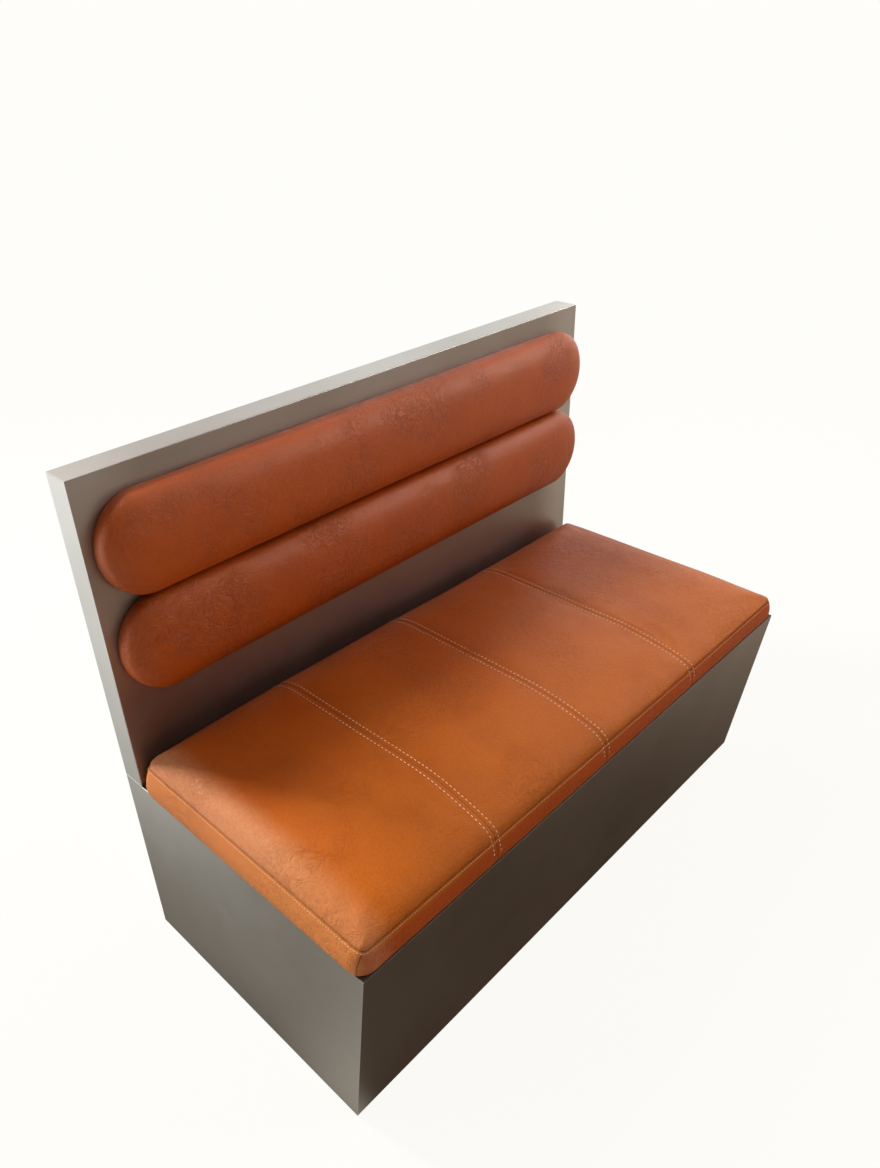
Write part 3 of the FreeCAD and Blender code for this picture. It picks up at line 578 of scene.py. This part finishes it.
def makeBackSteel(name, stretch):
    look, rake = steelLook, booth["rake"]
    metal = Finish(name)
    colour, roughness, lines = brushedSteel(metal, stretch)
    x, y, z = [metal.part(metal.place, axis) for axis in "XYZ"]
    fromSide, fromTop = booth["halfWidth"] - abs(x), booth["overall"] - z
    fromFace = abs((y - booth["backFoot"]) * math.cos(rake) - (z - booth["plinthTop"]) * math.sin(rake))
    # Painted shade on the back's face, away from its sides and low on the left, and on its top towards the
    # left
    low = metal.ramp(fromTop, *look["lowTop"]) * metal.ramp(x, *look["lowSide"])
    inner = metal.maths("MAXIMUM", metal.ramp(fromSide, *look["innerSide"]), low)
    share = look["faceShare"] + metal.ramp(fromTop, *look["faceDown"]) * look["faceMore"]
    colour = metal.mix(metal.ramp(fromFace, *look["faceSpan"]) * inner * share, colour, look["paintedLight"])
    top = metal.ramp(fromTop, *look["topSpan"]) * metal.ramp(x, *look["topSide"])
    colour = metal.mix(top * look["topShare"], colour, look["paintedLight"])
    colour = edgeHighlighted(metal, colour, fromSide, fromFace, fromTop)
    return closeSteel(metal, colour, roughness, lines)


plyLook = {
    "face": tone(0.62, 0.44, 0.26),
    "dark": tone(0.42, 0.27, 0.14),
    "glue": tone(0.20, 0.12, 0.06),
    "ply": 0.0015,
    "grainStretch": (6, 90, 90),
    "figureStretch": (1.4, 14, 14),
    "figureSpan": (0.45, 0.62),
    "figureShare": 0.4,
    "glueSpan": (0.06, 0.0),
    "glueShare": 0.7,
    "plySpan": (0.45, 0.55),
    "plyShare": 0.22,
}


# Plywood: grain along X on its faces, and thin plies that alternate through its thickness
def makePlywood(name, thickness):
    look = plyLook
    wood = Finish(name)
    grain = wood.clouds(1.0, 5, 0.6, 0.6, wood.scaled(wood.place, look["grainStretch"]))
    figure = wood.clouds(1.0, 3, 0.5, 1.4, wood.scaled(wood.place, look["figureStretch"]))
    through = wood.part(wood.place, thickness) * (0.5 / look["ply"])
    wave = abs(wood.maths("FRACT", through) - 0.5) * 2
    colour = wood.mix(grain, look["face"], look["dark"])
    colour = wood.mix(wood.ramp(figure, *look["figureSpan"]) * look["figureShare"], colour, look["dark"])
    colour = wood.mix(wood.ramp(wave, *look["glueSpan"]) * look["glueShare"], colour, look["glue"])
    colour = wood.mix(wood.ramp(wave, *look["plySpan"]) * look["plyShare"], colour, look["dark"])
    normal = wood.bump(grain, 0.0002, 0.5)
    return wood.close({"Base Color": colour, "Roughness": 0.62 + grain * 0.16, "Normal": normal})


softwoodLook = {
    "early": tone(0.72, 0.53, 0.31),
    "late": tone(0.50, 0.31, 0.15),
    "rings": 25.0,
    "along": 0.06,
    "bend": (9.0, 0.02),
    "fibres": 900,
}


# Planed softwood: long growth rings along the given axis, with fine fibres
def makeSoftwood(name, axis):
    look = softwoodLook
    wood = Finish(name)
    drawn = wood.scaled(wood.place, tuple(look["along"] if each == axis else 1.0 for each in "XYZ"))
    rings = wood.node("TexWave", {"wave_type": "RINGS", "rings_direction": axis},
                      {"Vector": wood.wandering(drawn, *look["bend"]), "Scale": look["rings"],
                       "Distortion": 1.5, "Detail": 2.0})
    fibres = wood.clouds(look["fibres"], 3, vector=drawn)
    colour = wood.mix(rings * 0.7 + fibres * 0.25, look["early"], look["late"])
    normal = wood.bump(fibres + rings * 0.5, 0.00015, 0.5)
    return wood.close({"Base Color": colour, "Roughness": 0.58 + fibres * 0.2, "Normal": normal})


def makePaintedSteel():
    paint = Finish("blackPaintedTube")
    peel = paint.clouds(420, 2)
    dust = paint.clouds(14, 4)
    dusty = paint.ramp(dust, 0.45, 0.75) * 0.35
    colour = paint.mix(dusty, tone(0.018, 0.018, 0.020), tone(0.075, 0.072, 0.068))
    return paint.close({"Base Color": colour, "Roughness": 0.36 + dust * 0.22,
                        "Normal": paint.bump(peel, 0.00008, 0.5), "Coat Weight": 0.2, "Coat Roughness": 0.3})


def makePlatedSteel():
    zinc = Finish("zincPlate")
    bloom = zinc.clouds(160, 3)
    lines = zinc.clouds(1.0, 3, vector=zinc.scaled(zinc.place, (300, 300, 2600)))
    colour = zinc.mix(bloom, tone(0.60, 0.60, 0.56), tone(0.46, 0.47, 0.50))
    return zinc.close({"Base Color": colour, "Metallic": 1.0, "Roughness": 0.26 + bloom * 0.16,
                       "Normal": zinc.bump(lines, 0.00005, 0.5)})


def makeNylon():
    nylon = Finish("blackNylon")
    fine = nylon.clouds(700, 3)
    scuff = nylon.ramp(nylon.clouds(90, 4), 0.5, 0.7)
    colour = nylon.mix(scuff * 0.5, tone(0.020, 0.020, 0.021), tone(0.10, 0.10, 0.10))
    return nylon.close({"Base Color": colour, "Roughness": 0.46 + scuff * 0.25,
                        "Normal": nylon.bump(fine, 0.00008, 0.5)})


# Sewing thread: fine twisted fibres, soiled in places
def makeThread(name, light, dark):
    thread = Finish(name)
    twist = thread.clouds(2400, 2, bend=1.0)
    soil = thread.clouds(18, 3)
    colour = thread.mix(thread.ramp(twist, 0.4, 0.65) * 0.45, light, dark)
    colour = thread.mix(thread.ramp(soil, 0.45, 0.75) * 0.35, colour, dark)
    return thread.close({"Base Color": colour, "Roughness": 0.70 + twist * 0.1,
                         "Normal": thread.bump(twist, 0.00012, 0.6)})


steelAlongX = makePlinthSteel("satinSteelWide", (5, 950, 950))
steelAlongY = makePlinthSteel("satinSteelSide", (950, 5, 950))
steelBack = makeBackSteel("satinSteelBack", (5, 950, 950))
seatLeather = makeLeather("seatLeather", seatLook, (0.0, 0.0, 0.0), booth["crossSeams"])
rollLeather = makeLeather("rollLeather", rollLook, (3.1, 1.7, 0.6))
plywood = {axis: makePlywood(f"plywoodThrough{axis}", axis) for axis in "XYZ"}
softwood = {axis: makeSoftwood(f"softwoodAlong{axis}", axis) for axis in "XYZ"}
paintedSteel = makePaintedSteel()
platedSteel = makePlatedSteel()
blackNylon = makeNylon()
creamThread = makeThread("creamThread", tone(0.96, 0.78, 0.60), tone(0.66, 0.40, 0.24))
orangeThread = makeThread("orangeThread", tone(0.80, 0.46, 0.24), tone(0.50, 0.19, 0.07))

finishOfNode = {
    "base_front_sheet": steelAlongX, "base_rear_sheet": steelAlongX,
    "base_left_sheet": steelAlongY, "base_right_sheet": steelAlongY,
    "back_rear_sheet": steelBack, "back_face_tray": steelBack,
    "base_front_board": plywood["Y"], "base_rear_board": plywood["Y"],
    "base_left_board": plywood["X"], "base_right_board": plywood["X"],
    "base_left_rib": plywood["X"], "base_right_rib": plywood["X"],
    "back_face_board": plywood["Y"], "lower_roll_board": plywood["Y"], "upper_roll_board": plywood["Y"],
    "seat_board": plywood["Z"],
    "base_left_front_post": softwood["Z"], "base_right_front_post": softwood["Z"],
    "back_left_stile": softwood["Z"], "back_right_stile": softwood["Z"],
    "base_front_floor_rail": softwood["X"], "base_rear_floor_rail": softwood["X"],
    "back_bottom_rail": softwood["X"], "back_middle_rail": softwood["X"], "back_top_rail": softwood["X"],
    "seat_left_batten": softwood["Y"], "seat_right_batten": softwood["Y"],
    "back_left_upright": paintedSteel, "back_right_upright": paintedSteel,
    "floor_glides": blackNylon, "floor_glide_screws": platedSteel, "roll_screws": platedSteel,
    "seat_batten_screws": platedSteel, "upright_bolts": platedSteel,
    "upright_washers": platedSteel, "upright_nuts": platedSteel,
}
for name, finish in finishOfNode.items():
    nodes[name].data.materials.clear()
    nodes[name].data.materials.append(finish)
print("finishes ready")


# Soft goods

def finishedPiece(name, bm, finish, body):
    mesh = bpy.data.meshes.new(name)
    bm.to_mesh(mesh)
    bm.free()
    for face in mesh.polygons:
        face.use_smooth = True
    mesh.materials.append(finish)
    piece = linked(name, mesh)
    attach(piece, body)
    return piece


stuffing = {
    "pressure": 4.0,
    "quality": 6,
    "mass": 0.5,
    "tension": 22,
    "shear": 12,
    "bending": 3,
    "frames": 20,
}


# Lets a mesh swell under pressure, its pinned points held, no point moving past the limit
def swell(bm, held, limit):
    mesh = bpy.data.meshes.new("swelling")
    bm.to_mesh(mesh)
    piece = linked("swelling", mesh)
    group = piece.vertex_groups.new(name="held")
    group.add([index for index, fixed in enumerate(held) if fixed], 1.0, "REPLACE")
    cloth = piece.modifiers.new("cloth", "CLOTH")
    ways = cloth.settings
    ways.quality = stuffing["quality"]
    ways.mass = stuffing["mass"]
    ways.tension_stiffness = ways.compression_stiffness = stuffing["tension"]
    ways.shear_stiffness = stuffing["shear"]
    ways.bending_stiffness = stuffing["bending"]
    ways.use_pressure = True
    ways.uniform_pressure_force = stuffing["pressure"]
    ways.vertex_group_mass = group.name
    ways.effector_weights.gravity = 0
    cloth.collision_settings.use_collision = False
    cloth.point_cache.frame_start, cloth.point_cache.frame_end = 1, stuffing["frames"]
    for step in range(stuffing["frames"]):
        scene.frame_set(step + 1)
    settled = piece.evaluated_get(bpy.context.evaluated_depsgraph_get())
    for vert, after in zip(bm.verts, settled.data.vertices):
        move = after.co - vert.co
        if move.length > 1e-9:
            vert.co += move.normalized() * limit * math.tanh(move.length / limit)
    scene.frame_set(1)
    bpy.data.objects.remove(piece)


# One subdivision, and then the flat underside, because a face of many sides can't be subdivided
def finished(bm):
    mesh = bpy.data.meshes.new("finer")
    bm.to_mesh(mesh)
    bm.free()
    piece = linked("finer", mesh)
    finer = piece.modifiers.new("finer", "SUBSURF")
    finer.levels = finer.render_levels = 1
    done = piece.evaluated_get(bpy.context.evaluated_depsgraph_get())
    bm = bmesh.new()
    bm.from_mesh(done.data)
    bpy.data.objects.remove(piece)
    bmesh.ops.holes_fill(bm, edges=[edge for edge in bm.edges if edge.is_boundary], sides=0)
    bmesh.ops.recalc_face_normals(bm, faces=bm.faces)
    return bm


# Shades the creases: a number for each point, read by the leather
def shadeCreases(piece, depthAt):
    shade = piece.data.attributes.new("crease", "FLOAT", "POINT")
    for index, vert in enumerate(piece.data.vertices):
        shade.data[index].value = depthAt(vert.co)


def gauss(value, width):
    return math.exp(-(value / width) ** 2)


# 0 at low, 1 at high, straight between them
def between(value, low, high):
    return max(0.0, min(1.0, (value - low) / (high - low)))


seat = {
    "cells": (150, 62),
    "seamCuts": (0.0125, 0.0105, 0.008, 0.0055, 0.003, 0.0013),  # grid lines to each side of a cross seam
    "edgeCuts": (0.0012, 0.003, 0.0055),
    "cutMerge": 0.0003,  # a grid point this near to a cut moves onto it
    "cornerRadius": 0.014,
    # How the panel rises from its seam: run and share of the soft edge, run and power of the shoulder
    "frontRise": (0.034, 0.30, 0.150, 1.5),
    "rearRise": (0.018, 0.50, 0.070, 2.0),
    "leftRise": (0.038, 0.42, 0.200, 1.8),
    "rightRise": (0.030, 0.45, 0.120, 2.0),
    "edgeRoundness": 0.62,
    "edgeBlend": 8,
    # Heights over the plain seam: mean, swing, where it is highest and where it levels out
    "crown": (0.043, 0.011, -0.33, 0.42),
    "seamLift": (0.0065, 0.0036, -0.63, 0.35),
    # The border's seam climbs towards the left end, and there towards the rear
    "rearLift": 0.006,
    "rearLiftLeft": (-0.25, -0.60),
    "rearLiftRear": (-0.25, 0.25),
    "borderHeight": 0.035,
    "clearance": 0.0003,
    "borderLean": 0.006,
    # Rings down the border: how far down, how far out
    "borderRings": [(0.0012, 0.0002), (0.0032, 0.0010), (0.006, 0.0018), (0.012, 0.0034), (0.019, 0.0048),
                    (0.026, 0.0057), (0.031, 0.0062), (0.0340, 0.0060), (0.0348, 0.0052)],
    "borderArch": 0.045,
    "frontBulge": 0.0032,
    "endBulge": 0.0062,
    "underEdge": 0.0022,  # inset of the first ring on the underside
    "recess": (0.0057, 0.0156),  # room for the board under the cushion: inset and depth
    "heldOver": 0.0035,
    "heldStrip": 0.013,
    "swellLimit": 0.0018,
    # Depth and width of the dips at a cross seam and at its two rows of stitches
    "seamDip": (0.0009, 0.0016),
    "rowGap": 0.008,
    "rowDip": (0.0004, 0.0022),
    "dipLowest": 0.001,
    "dipTop": 0.002,  # how far over the border's seam the dips turn from inward to downward
    "seamPull": (0.0014, 0.0006),
    "rippleScale": (9, 13),
    "rippleSeed": 4.2,
    "rippleHeight": 0.0011,
    "rippleFrom": 0.012,
    # Darkness and width of the shading in the cross seams and the border's seam
    "seamShade": (0.30, 0.0012),
    "borderShade": (0.62, 0.0009),
    "borderShadeDrop": 0.0006,
    "borderShadeDepth": 0.012,
}


# Share of the crown's height that the panel has reached: soft edges meet sharply at the corners, the
# long shoulders melt into each other
def panelShare(front, rear, end, endRise):
    edge, shoulder, weights, shares = 0.0, 1.0, 0.0, 0.0
    sides = ((front, seat["frontRise"]), (rear, seat["rearRise"]), (end, endRise))
    for inside, (edgeRun, edgeHighlightShare, run, power) in sides:
        inside = max(0.0, inside)
        height = (1 - max(0.0, 1 - inside / edgeRun) ** 2) ** seat["edgeRoundness"]
        edge += max(1e-3, height) ** -seat["edgeBlend"]
        near = max(0.0, 1 - inside / run) ** power
        shoulder *= 1 - near
        weights += near + 1e-4
        shares += edgeHighlightShare * (near + 1e-4)
    share = shares / weights
    edge = (edge / len(sides)) ** (-1 / seat["edgeBlend"])
    return share * min(1.0, edge) + (1 - share) * shoulder


def drooping(x, mean, swing, highest, level):
    return mean + swing * math.cos(math.pi * between(x, highest, level))


def seamRise(x, y):
    climb = between(y, *seat["rearLiftRear"]) * between(x, *seat["rearLiftLeft"])
    return drooping(x, *seat["seamLift"]) + seat["rearLift"] * climb


def seamDistance(x):
    return min(abs(x - seam) for seam in booth["crossSeams"])


# Moves a rectangle's points so that its corners, and the rings inside them, turn with a radius
def roundPlan(x, y, halfX, halfY, radius):
    u, v = (abs(x) - halfX + radius) / radius, (abs(y) - halfY + radius) / radius
    if u <= 0 or v <= 0:
        return x, y
    pull = max(u, v) / math.hypot(u, v)
    across, along = halfX - radius + radius * u * pull, halfY - radius + radius * v * pull
    return math.copysign(across, x), math.copysign(along, y)


# The level way out of a rounded rectangle at a point near its edge
def outward(x, y, halfX, halfY, radius):
    coreX, coreY = halfX - radius, halfY - radius
    away = Vector((x - max(-coreX, min(coreX, x)), y - max(-coreY, min(coreY, y)), 0))
    return away.normalized() if away.length > 1e-6 else Vector((0, 0, 0))


# The seat's panel: a fine grid, cut along its seams and its edge, rounded in plan and raised to its crown
def seatPanel(halfX, halfY, seamHeight):
    bm = bmesh.new()
    bmesh.ops.create_grid(bm, x_segments=seat["cells"][0], y_segments=seat["cells"][1], size=1)
    bmesh.ops.transform(bm, matrix=Matrix.Diagonal((halfX, halfY, 1, 1)), verts=bm.verts)
    steps = [-step for step in seat["seamCuts"]] + [0.0, *reversed(seat["seamCuts"])]
    edgesX, edgesY = [[side * (half - inside) for side in (-1, 1) for inside in seat["edgeCuts"]]
                      for half in (halfX, halfY)]
    cutsX = [seam + step for seam in booth["crossSeams"] for step in steps] + edgesX
    for way, cuts in (((1, 0, 0), cutsX), ((0, 1, 0), edgesY)):
        for cut in cuts:
            bmesh.ops.bisect_plane(bm, geom=bm.verts[:] + bm.edges[:] + bm.faces[:], dist=seat["cutMerge"],
                                   plane_co=Vector(way) * cut, plane_no=way)
    for vert in bm.verts:
        x, y = roundPlan(vert.co.x, vert.co.y, halfX, halfY, seat["cornerRadius"])
        front, rear, end = vert.co.y + halfY, halfY - vert.co.y, halfX - abs(vert.co.x)
        share = panelShare(front, rear, end, seat["leftRise" if x < 0 else "rightRise"])
        lift = seamRise(x, y)
        vert.co = (x, y, seamHeight + lift + (drooping(x, *seat["crown"]) - lift) * share)
    return bm


# Extrudes the rim; each new point takes over what is known of the point that it comes from
def nextRing(bm, rim, known):
    made = bmesh.ops.extrude_edge_only(bm, edges=rim)["geom"]
    rim = [item for item in made if isinstance(item, bmesh.types.BMEdge) and item.is_boundary]
    fresh = {}
    for vert in {vert for edge in rim for vert in edge.verts}:
        near = [link.other_vert(vert) for link in vert.link_edges]
        fresh[vert] = next(known[other] for other in near if other in known)
    return rim, fresh


def dropBorder(bm, halfX, halfY, bottom):
    rim = [edge for edge in bm.edges if edge.is_boundary]
    ring = {}
    for vert in {vert for edge in rim for vert in edge.verts}:
        ring[vert] = (vert.co.copy(), outward(vert.co.x, vert.co.y, halfX, halfY, seat["cornerRadius"]))
    seamRing = list(ring)
    for down, out in seat["borderRings"]:
        rim, ring = nextRing(bm, rim, ring)
        arch = math.sin(math.pi * down / seat["borderArch"])
        for vert, (origin, away) in ring.items():
            side = out + seat["endBulge"] * away.x ** 2 * arch
            forward = seat["frontBulge"] * max(0.0, -away.y) * arch
            level = bottom + (origin.z - bottom) * (1 - down / seat["borderHeight"])
            vert.co = (origin.x + away.x * side, origin.y + away.y * out - forward, level)
    (inset, deep), first = seat["recess"], seat["underEdge"]
    for inside, up in ((first, 0.0), (inset, 0.0), (inset, deep / 2), (inset, deep)):
        rim, ring = nextRing(bm, rim, ring)
        out = seat["borderLean"] - inside
        for vert, (origin, away) in ring.items():
            vert.co = (origin.x + away.x * out, origin.y + away.y * out, bottom + up)
    bmesh.ops.recalc_face_normals(bm, faces=bm.faces)
    bm.verts.ensure_lookup_table()
    return seamRing


def makeSeatCushion():
    low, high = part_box("seat_cover")
    centre = (low + high) / 2
    outerX, outerY = (high.x - low.x) / 2, (high.y - low.y) / 2
    halfX, halfY = outerX - seat["borderLean"], outerY - seat["borderLean"]
    plan = (halfX, halfY, seat["cornerRadius"])
    seamHeight = low.z + seat["borderHeight"] - seat["clearance"]

    def seamLevel(x, y):
        return seamHeight + seamRise(x, y)

    bm = seatPanel(halfX, halfY, seamHeight)
    seamRing = dropBorder(bm, halfX, halfY, low.z)
    held = [vert.co.z <= seamLevel(vert.co.x, vert.co.y) + seat["heldOver"]
            or seamDistance(vert.co.x) < seat["heldStrip"] for vert in bm.verts]
    swell(bm, held, seat["swellLimit"])

    for vert in bm.verts:  # the cross seams pull the leather in, from above and on the border
        x, y, z = vert.co
        if z > low.z + seat["dipLowest"]:
            (depth, width), (rowDepth, rowWidth) = seat["seamDip"], seat["rowDip"]
            gap = seamDistance(x)
            dip = depth * gauss(gap, width) + rowDepth * gauss(gap - seat["rowGap"], rowWidth)
            if z > seamLevel(x, y) + seat["dipTop"]:
                vert.co.z -= dip
            else:
                vert.co -= outward(x, y, *plan) * dip
    pull, drop = seat["seamPull"]
    for vert in seamRing:
        vert.co -= outward(vert.co.x, vert.co.y, *plan) * pull + Vector((0, 0, drop))
    for vert in bm.verts:  # slight unevenness of the stuffing
        above = vert.co.z - seamHeight - seat["rippleFrom"]
        if above > 0:
            scaleX, scaleY = seat["rippleScale"]
            ripple = noise.noise(Vector((vert.co.x * scaleX, vert.co.y * scaleY, seat["rippleSeed"])))
            vert.co.z += seat["rippleHeight"] * ripple * min(1, above / seat["rippleFrom"])
    bm = finished(bm)
    bmesh.ops.transform(bm, matrix=Matrix.Translation((centre.x, centre.y, 0)), verts=bm.verts)
    piece = finishedPiece("seat_cushion", bm, seatLeather, "seat")

    def creaseAt(place):
        (seamDark, seamWidth), (borderDark, borderWidth) = seat["seamShade"], seat["borderShade"]
        x, y = place.x - centre.x, place.y - centre.y
        crease = seamDark * gauss(seamDistance(x), seamWidth)
        if min(outerX - abs(x), outerY - abs(y)) < seat["borderShadeDepth"]:
            over = place.z - seamLevel(x, y) + seat["borderShadeDrop"]
            crease = max(crease, borderDark * gauss(over, borderWidth))
        return crease

    shadeCreases(piece, creaseAt)
    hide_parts("seat_cover", "seat_foam")
    return piece


threads = {
    "sides": (8, 6),
    "flatness": 0.8,
    "rowPitch": 0.0080,
    "rowLength": 0.0047,
    "rowRadius": 0.00066,
    "rowLift": 0.00064,
    # The rays that find a row's path: angles in degrees, steps, where they start and how they spread
    "fan": (-17, 197),
    "fanSteps": 180,
    "fanHeight": 0.022,
    "fanSpread": 0.12,
    "fanLowest": 0.004,
    "edgePitch": 0.0052,
    "edgeLength": 0.0038,
    "edgeRadius": 0.00048,
    "edgeLift": 0.00020,
    "edgeDrop": 0.0042,
    "edgeSteps": {"long": 90, "short": 40},
    "edgeStandOff": 0.02,
}


# One stitch, a short plump thread; sew lays copies of it end to end along a path on the leather
def stitchShape():
    around, rings = threads["sides"]
    bm = bmesh.new()
    bmesh.ops.create_uvsphere(bm, u_segments=around, v_segments=rings, radius=1)
    mesh = bpy.data.meshes.new("stitch")
    bm.to_mesh(mesh)
    bm.free()
    return mesh


def sew(bm, shape, path, kind):
    pitch, length, radius, lift = [threads[kind + size] for size in ("Pitch", "Length", "Radius", "Lift")]
    size = Matrix.Diagonal((radius, radius * threads["flatness"], length / 2, 1))
    gone, spot = 0.0, pitch / 2
    for (start, up), (end, upNext) in zip(path, path[1:]):
        run = (end - start).length
        while spot <= gone + run and run > 0:
            share = (spot - gone) / run
            normal = up.lerp(upNext, share).normalized()
            centre = start.lerp(end, share) + normal * lift
            along = (end - start).normalized()
            side = normal.cross(along).normalized()
            turn = Matrix((side, along.cross(side).normalized(), along)).transposed().to_4x4()
            one = shape.copy()
            one.transform(Matrix.Translation(centre) @ turn @ size)
            bm.from_mesh(one)
            bpy.data.meshes.remove(one)
            spot += pitch
        gone += run


def treeOf(piece):
    bm = bmesh.new()
    bm.from_mesh(piece.data)
    tree = BVHTree.FromBMesh(bm)
    bm.free()
    return tree


# Fans out from inside the cushion, from low in front over the top to the rear
def rowPath(tree, x, low, high):
    origin = Vector((x, (low.y + high.y) / 2, low.z + threads["fanHeight"]))
    first, last = threads["fan"]
    path = []
    for step in range(threads["fanSteps"] + 1):
        angle = math.radians(first + (last - first) * step / threads["fanSteps"])
        ray = Vector((0, -math.cos(angle) * (high.y - low.y), math.sin(angle) * threads["fanSpread"]))
        hit, normal = tree.ray_cast(origin, ray.normalized())[:2]
        if hit is not None and hit.z > low.z + threads["fanLowest"]:
            path.append((hit, normal))
    return path


# Goes round the border, a little below its seam
def borderPath(tree, low, high):
    centre = (low + high) / 2
    plan = ((high.x - low.x) / 2, (high.y - low.y) / 2, seat["cornerRadius"])
    corners = [(-1, -1), (1, -1), (1, 1), (-1, 1), (-1, -1)]
    path = []
    for (fromX, fromY), (toX, toY) in zip(corners, corners[1:]):
        count = threads["edgeSteps"]["long" if fromY == toY else "short"]
        for step in range(count):
            share = step / count
            x = (fromX + (toX - fromX) * share) * plan[0]
            y = (fromY + (toY - fromY) * share) * plan[1]
            x, y = roundPlan(x, y, *plan)
            away = outward(x, y, *plan)
            level = low.z + seat["borderHeight"] + seamRise(x, y) - threads["edgeDrop"]
            origin = Vector((centre.x + x, centre.y + y, level)) + away * threads["edgeStandOff"]
            hit, normal = tree.ray_cast(origin, -away)[:2]
            if hit is not None:
                path.append((hit, normal))
    return path + path[:1]


def makeSeatThreads(cushion):
    tree = treeOf(cushion)
    shape = stitchShape()
    low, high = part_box("seat_cover")
    rows = bmesh.new()
    for seam in booth["crossSeams"]:
        for side in (-1, 1):
            sew(rows, shape, rowPath(tree, seam + side * seat["rowGap"], low, high), "row")
    finishedPiece("seat_cross_stitches", rows, creamThread, "seat")
    edge = bmesh.new()
    sew(edge, shape, borderPath(tree, low, high), "edge")
    finishedPiece("seat_border_stitches", edge, orangeThread, "seat")


roll = {
    "radius": 0.0833,
    "rise": 0.050,
    "endMargin": 0.015,
    "slack": 0.0012,  # how much smaller it starts, before it swells
    "clearance": 0.0003,
    "heights": {"lower": 0.252, "upper": 0.419},
    "seeds": {"lower": 2.9, "upper": 7.3},
    "merge": 0.00001,
    # Half a section, as shares of the radius and of the rise
    "section": [(0.0, 0.995), (0.20, 0.988), (0.40, 0.960), (0.58, 0.910), (0.74, 0.830), (0.87, 0.710),
                (0.957, 0.600), (0.996, 0.45), (1.008, 0.30), (1.008, 0.17), (1.004, 0.06), (0.994, 0.006)],
    "segments": 92,
    "turns": 26,
    "heldUnder": 0.004,
    "swellLimit": 0.003,
    "unevenScale": (5, 14, 14),
    "unevenHeight": 0.0007,
    "unevenRun": 0.02,
    "rimShade": (0.9, 0.0022),
    "rimShadeFrom": 0.0005,
}


# Half a round of the section at one end, drawn out along X, and half a round at the other
def rollShell(reach, radius, rise):
    bm = bmesh.new()
    verts = [bm.verts.new((-reach, radius * across, max(rise * up, roll["clearance"])))
             for across, up in roll["section"]]
    edges = [bm.edges.new(pair) for pair in zip(verts, verts[1:])]
    bmesh.ops.spin(bm, geom=verts + edges, cent=(-reach, 0, 0), axis=(0, 0, 1), angle=math.pi,
                   steps=roll["turns"], use_merge=False)
    bmesh.ops.remove_doubles(bm, verts=bm.verts, dist=roll["merge"])
    border = [edge for edge in bm.edges if all(abs(vert.co.x + reach) < roll["merge"] for vert in edge.verts)]
    for step in range(roll["segments"]):
        made = bmesh.ops.extrude_edge_only(bm, edges=border)["geom"]
        fresh = {item for item in made if isinstance(item, bmesh.types.BMVert)}
        bmesh.ops.translate(bm, verts=list(fresh), vec=(2 * reach / roll["segments"], 0, 0))
        border = [item for item in made if isinstance(item, bmesh.types.BMEdge)
                  and all(vert in fresh for vert in item.verts)]
    half = [edge for edge in border if all(vert.co.y < 1e-6 for vert in edge.verts)]
    halfVerts = list({vert for edge in half for vert in edge.verts})
    bmesh.ops.spin(bm, geom=halfVerts + half, cent=(reach, 0, 0), axis=(0, 0, 1), angle=math.pi,
                   steps=roll["turns"], use_merge=False)
    bmesh.ops.remove_doubles(bm, verts=bm.verts, dist=roll["merge"])
    bmesh.ops.recalc_face_normals(bm, faces=bm.faces)
    bm.verts.ensure_lookup_table()
    return bm


def makeRoll(name):
    reach = booth["halfWidth"] - roll["endMargin"] - roll["radius"]
    bm = rollShell(reach, roll["radius"] - roll["slack"], roll["rise"] - roll["slack"])
    swell(bm, [vert.co.z < roll["heldUnder"] for vert in bm.verts], roll["swellLimit"])
    scaleX, scaleY, scaleZ = roll["unevenScale"]
    for vert in bm.verts:  # slight unevenness of hand-filled rolls, none at the foot
        x, y, z = vert.co
        if z > roll["heldUnder"]:
            uneven = noise.noise(Vector((x * scaleX + roll["seeds"][name], y * scaleY, z * scaleZ)))
            vert.co += vert.normal * roll["unevenHeight"] * uneven * min(1, z / roll["unevenRun"])
    bm = finished(bm)
    turn = Matrix.Rotation(math.pi / 2 - booth["rake"], 4, "X")
    foot = Matrix.Translation((0.0, booth["backFoot"], booth["plinthTop"]))
    place = foot @ turn @ Matrix.Translation((0, roll["heights"][name], 0))
    bmesh.ops.transform(bm, matrix=place, verts=bm.verts)
    piece = finishedPiece(f"{name}_roll_cushion", bm, rollLeather, "base")
    back = place.inverted()
    dark, width = roll["rimShade"]
    shadeCreases(piece, lambda spot: dark * gauss(max(0, (back @ spot).z - roll["rimShadeFrom"]), width))
    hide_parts(f"{name}_roll_cover", f"{name}_roll_foam")


cushion = makeSeatCushion()
print("seat cushion ready")
makeSeatThreads(cushion)
print("stitches ready")
for name in roll["heights"]:
    makeRoll(name)
print("rolls ready")
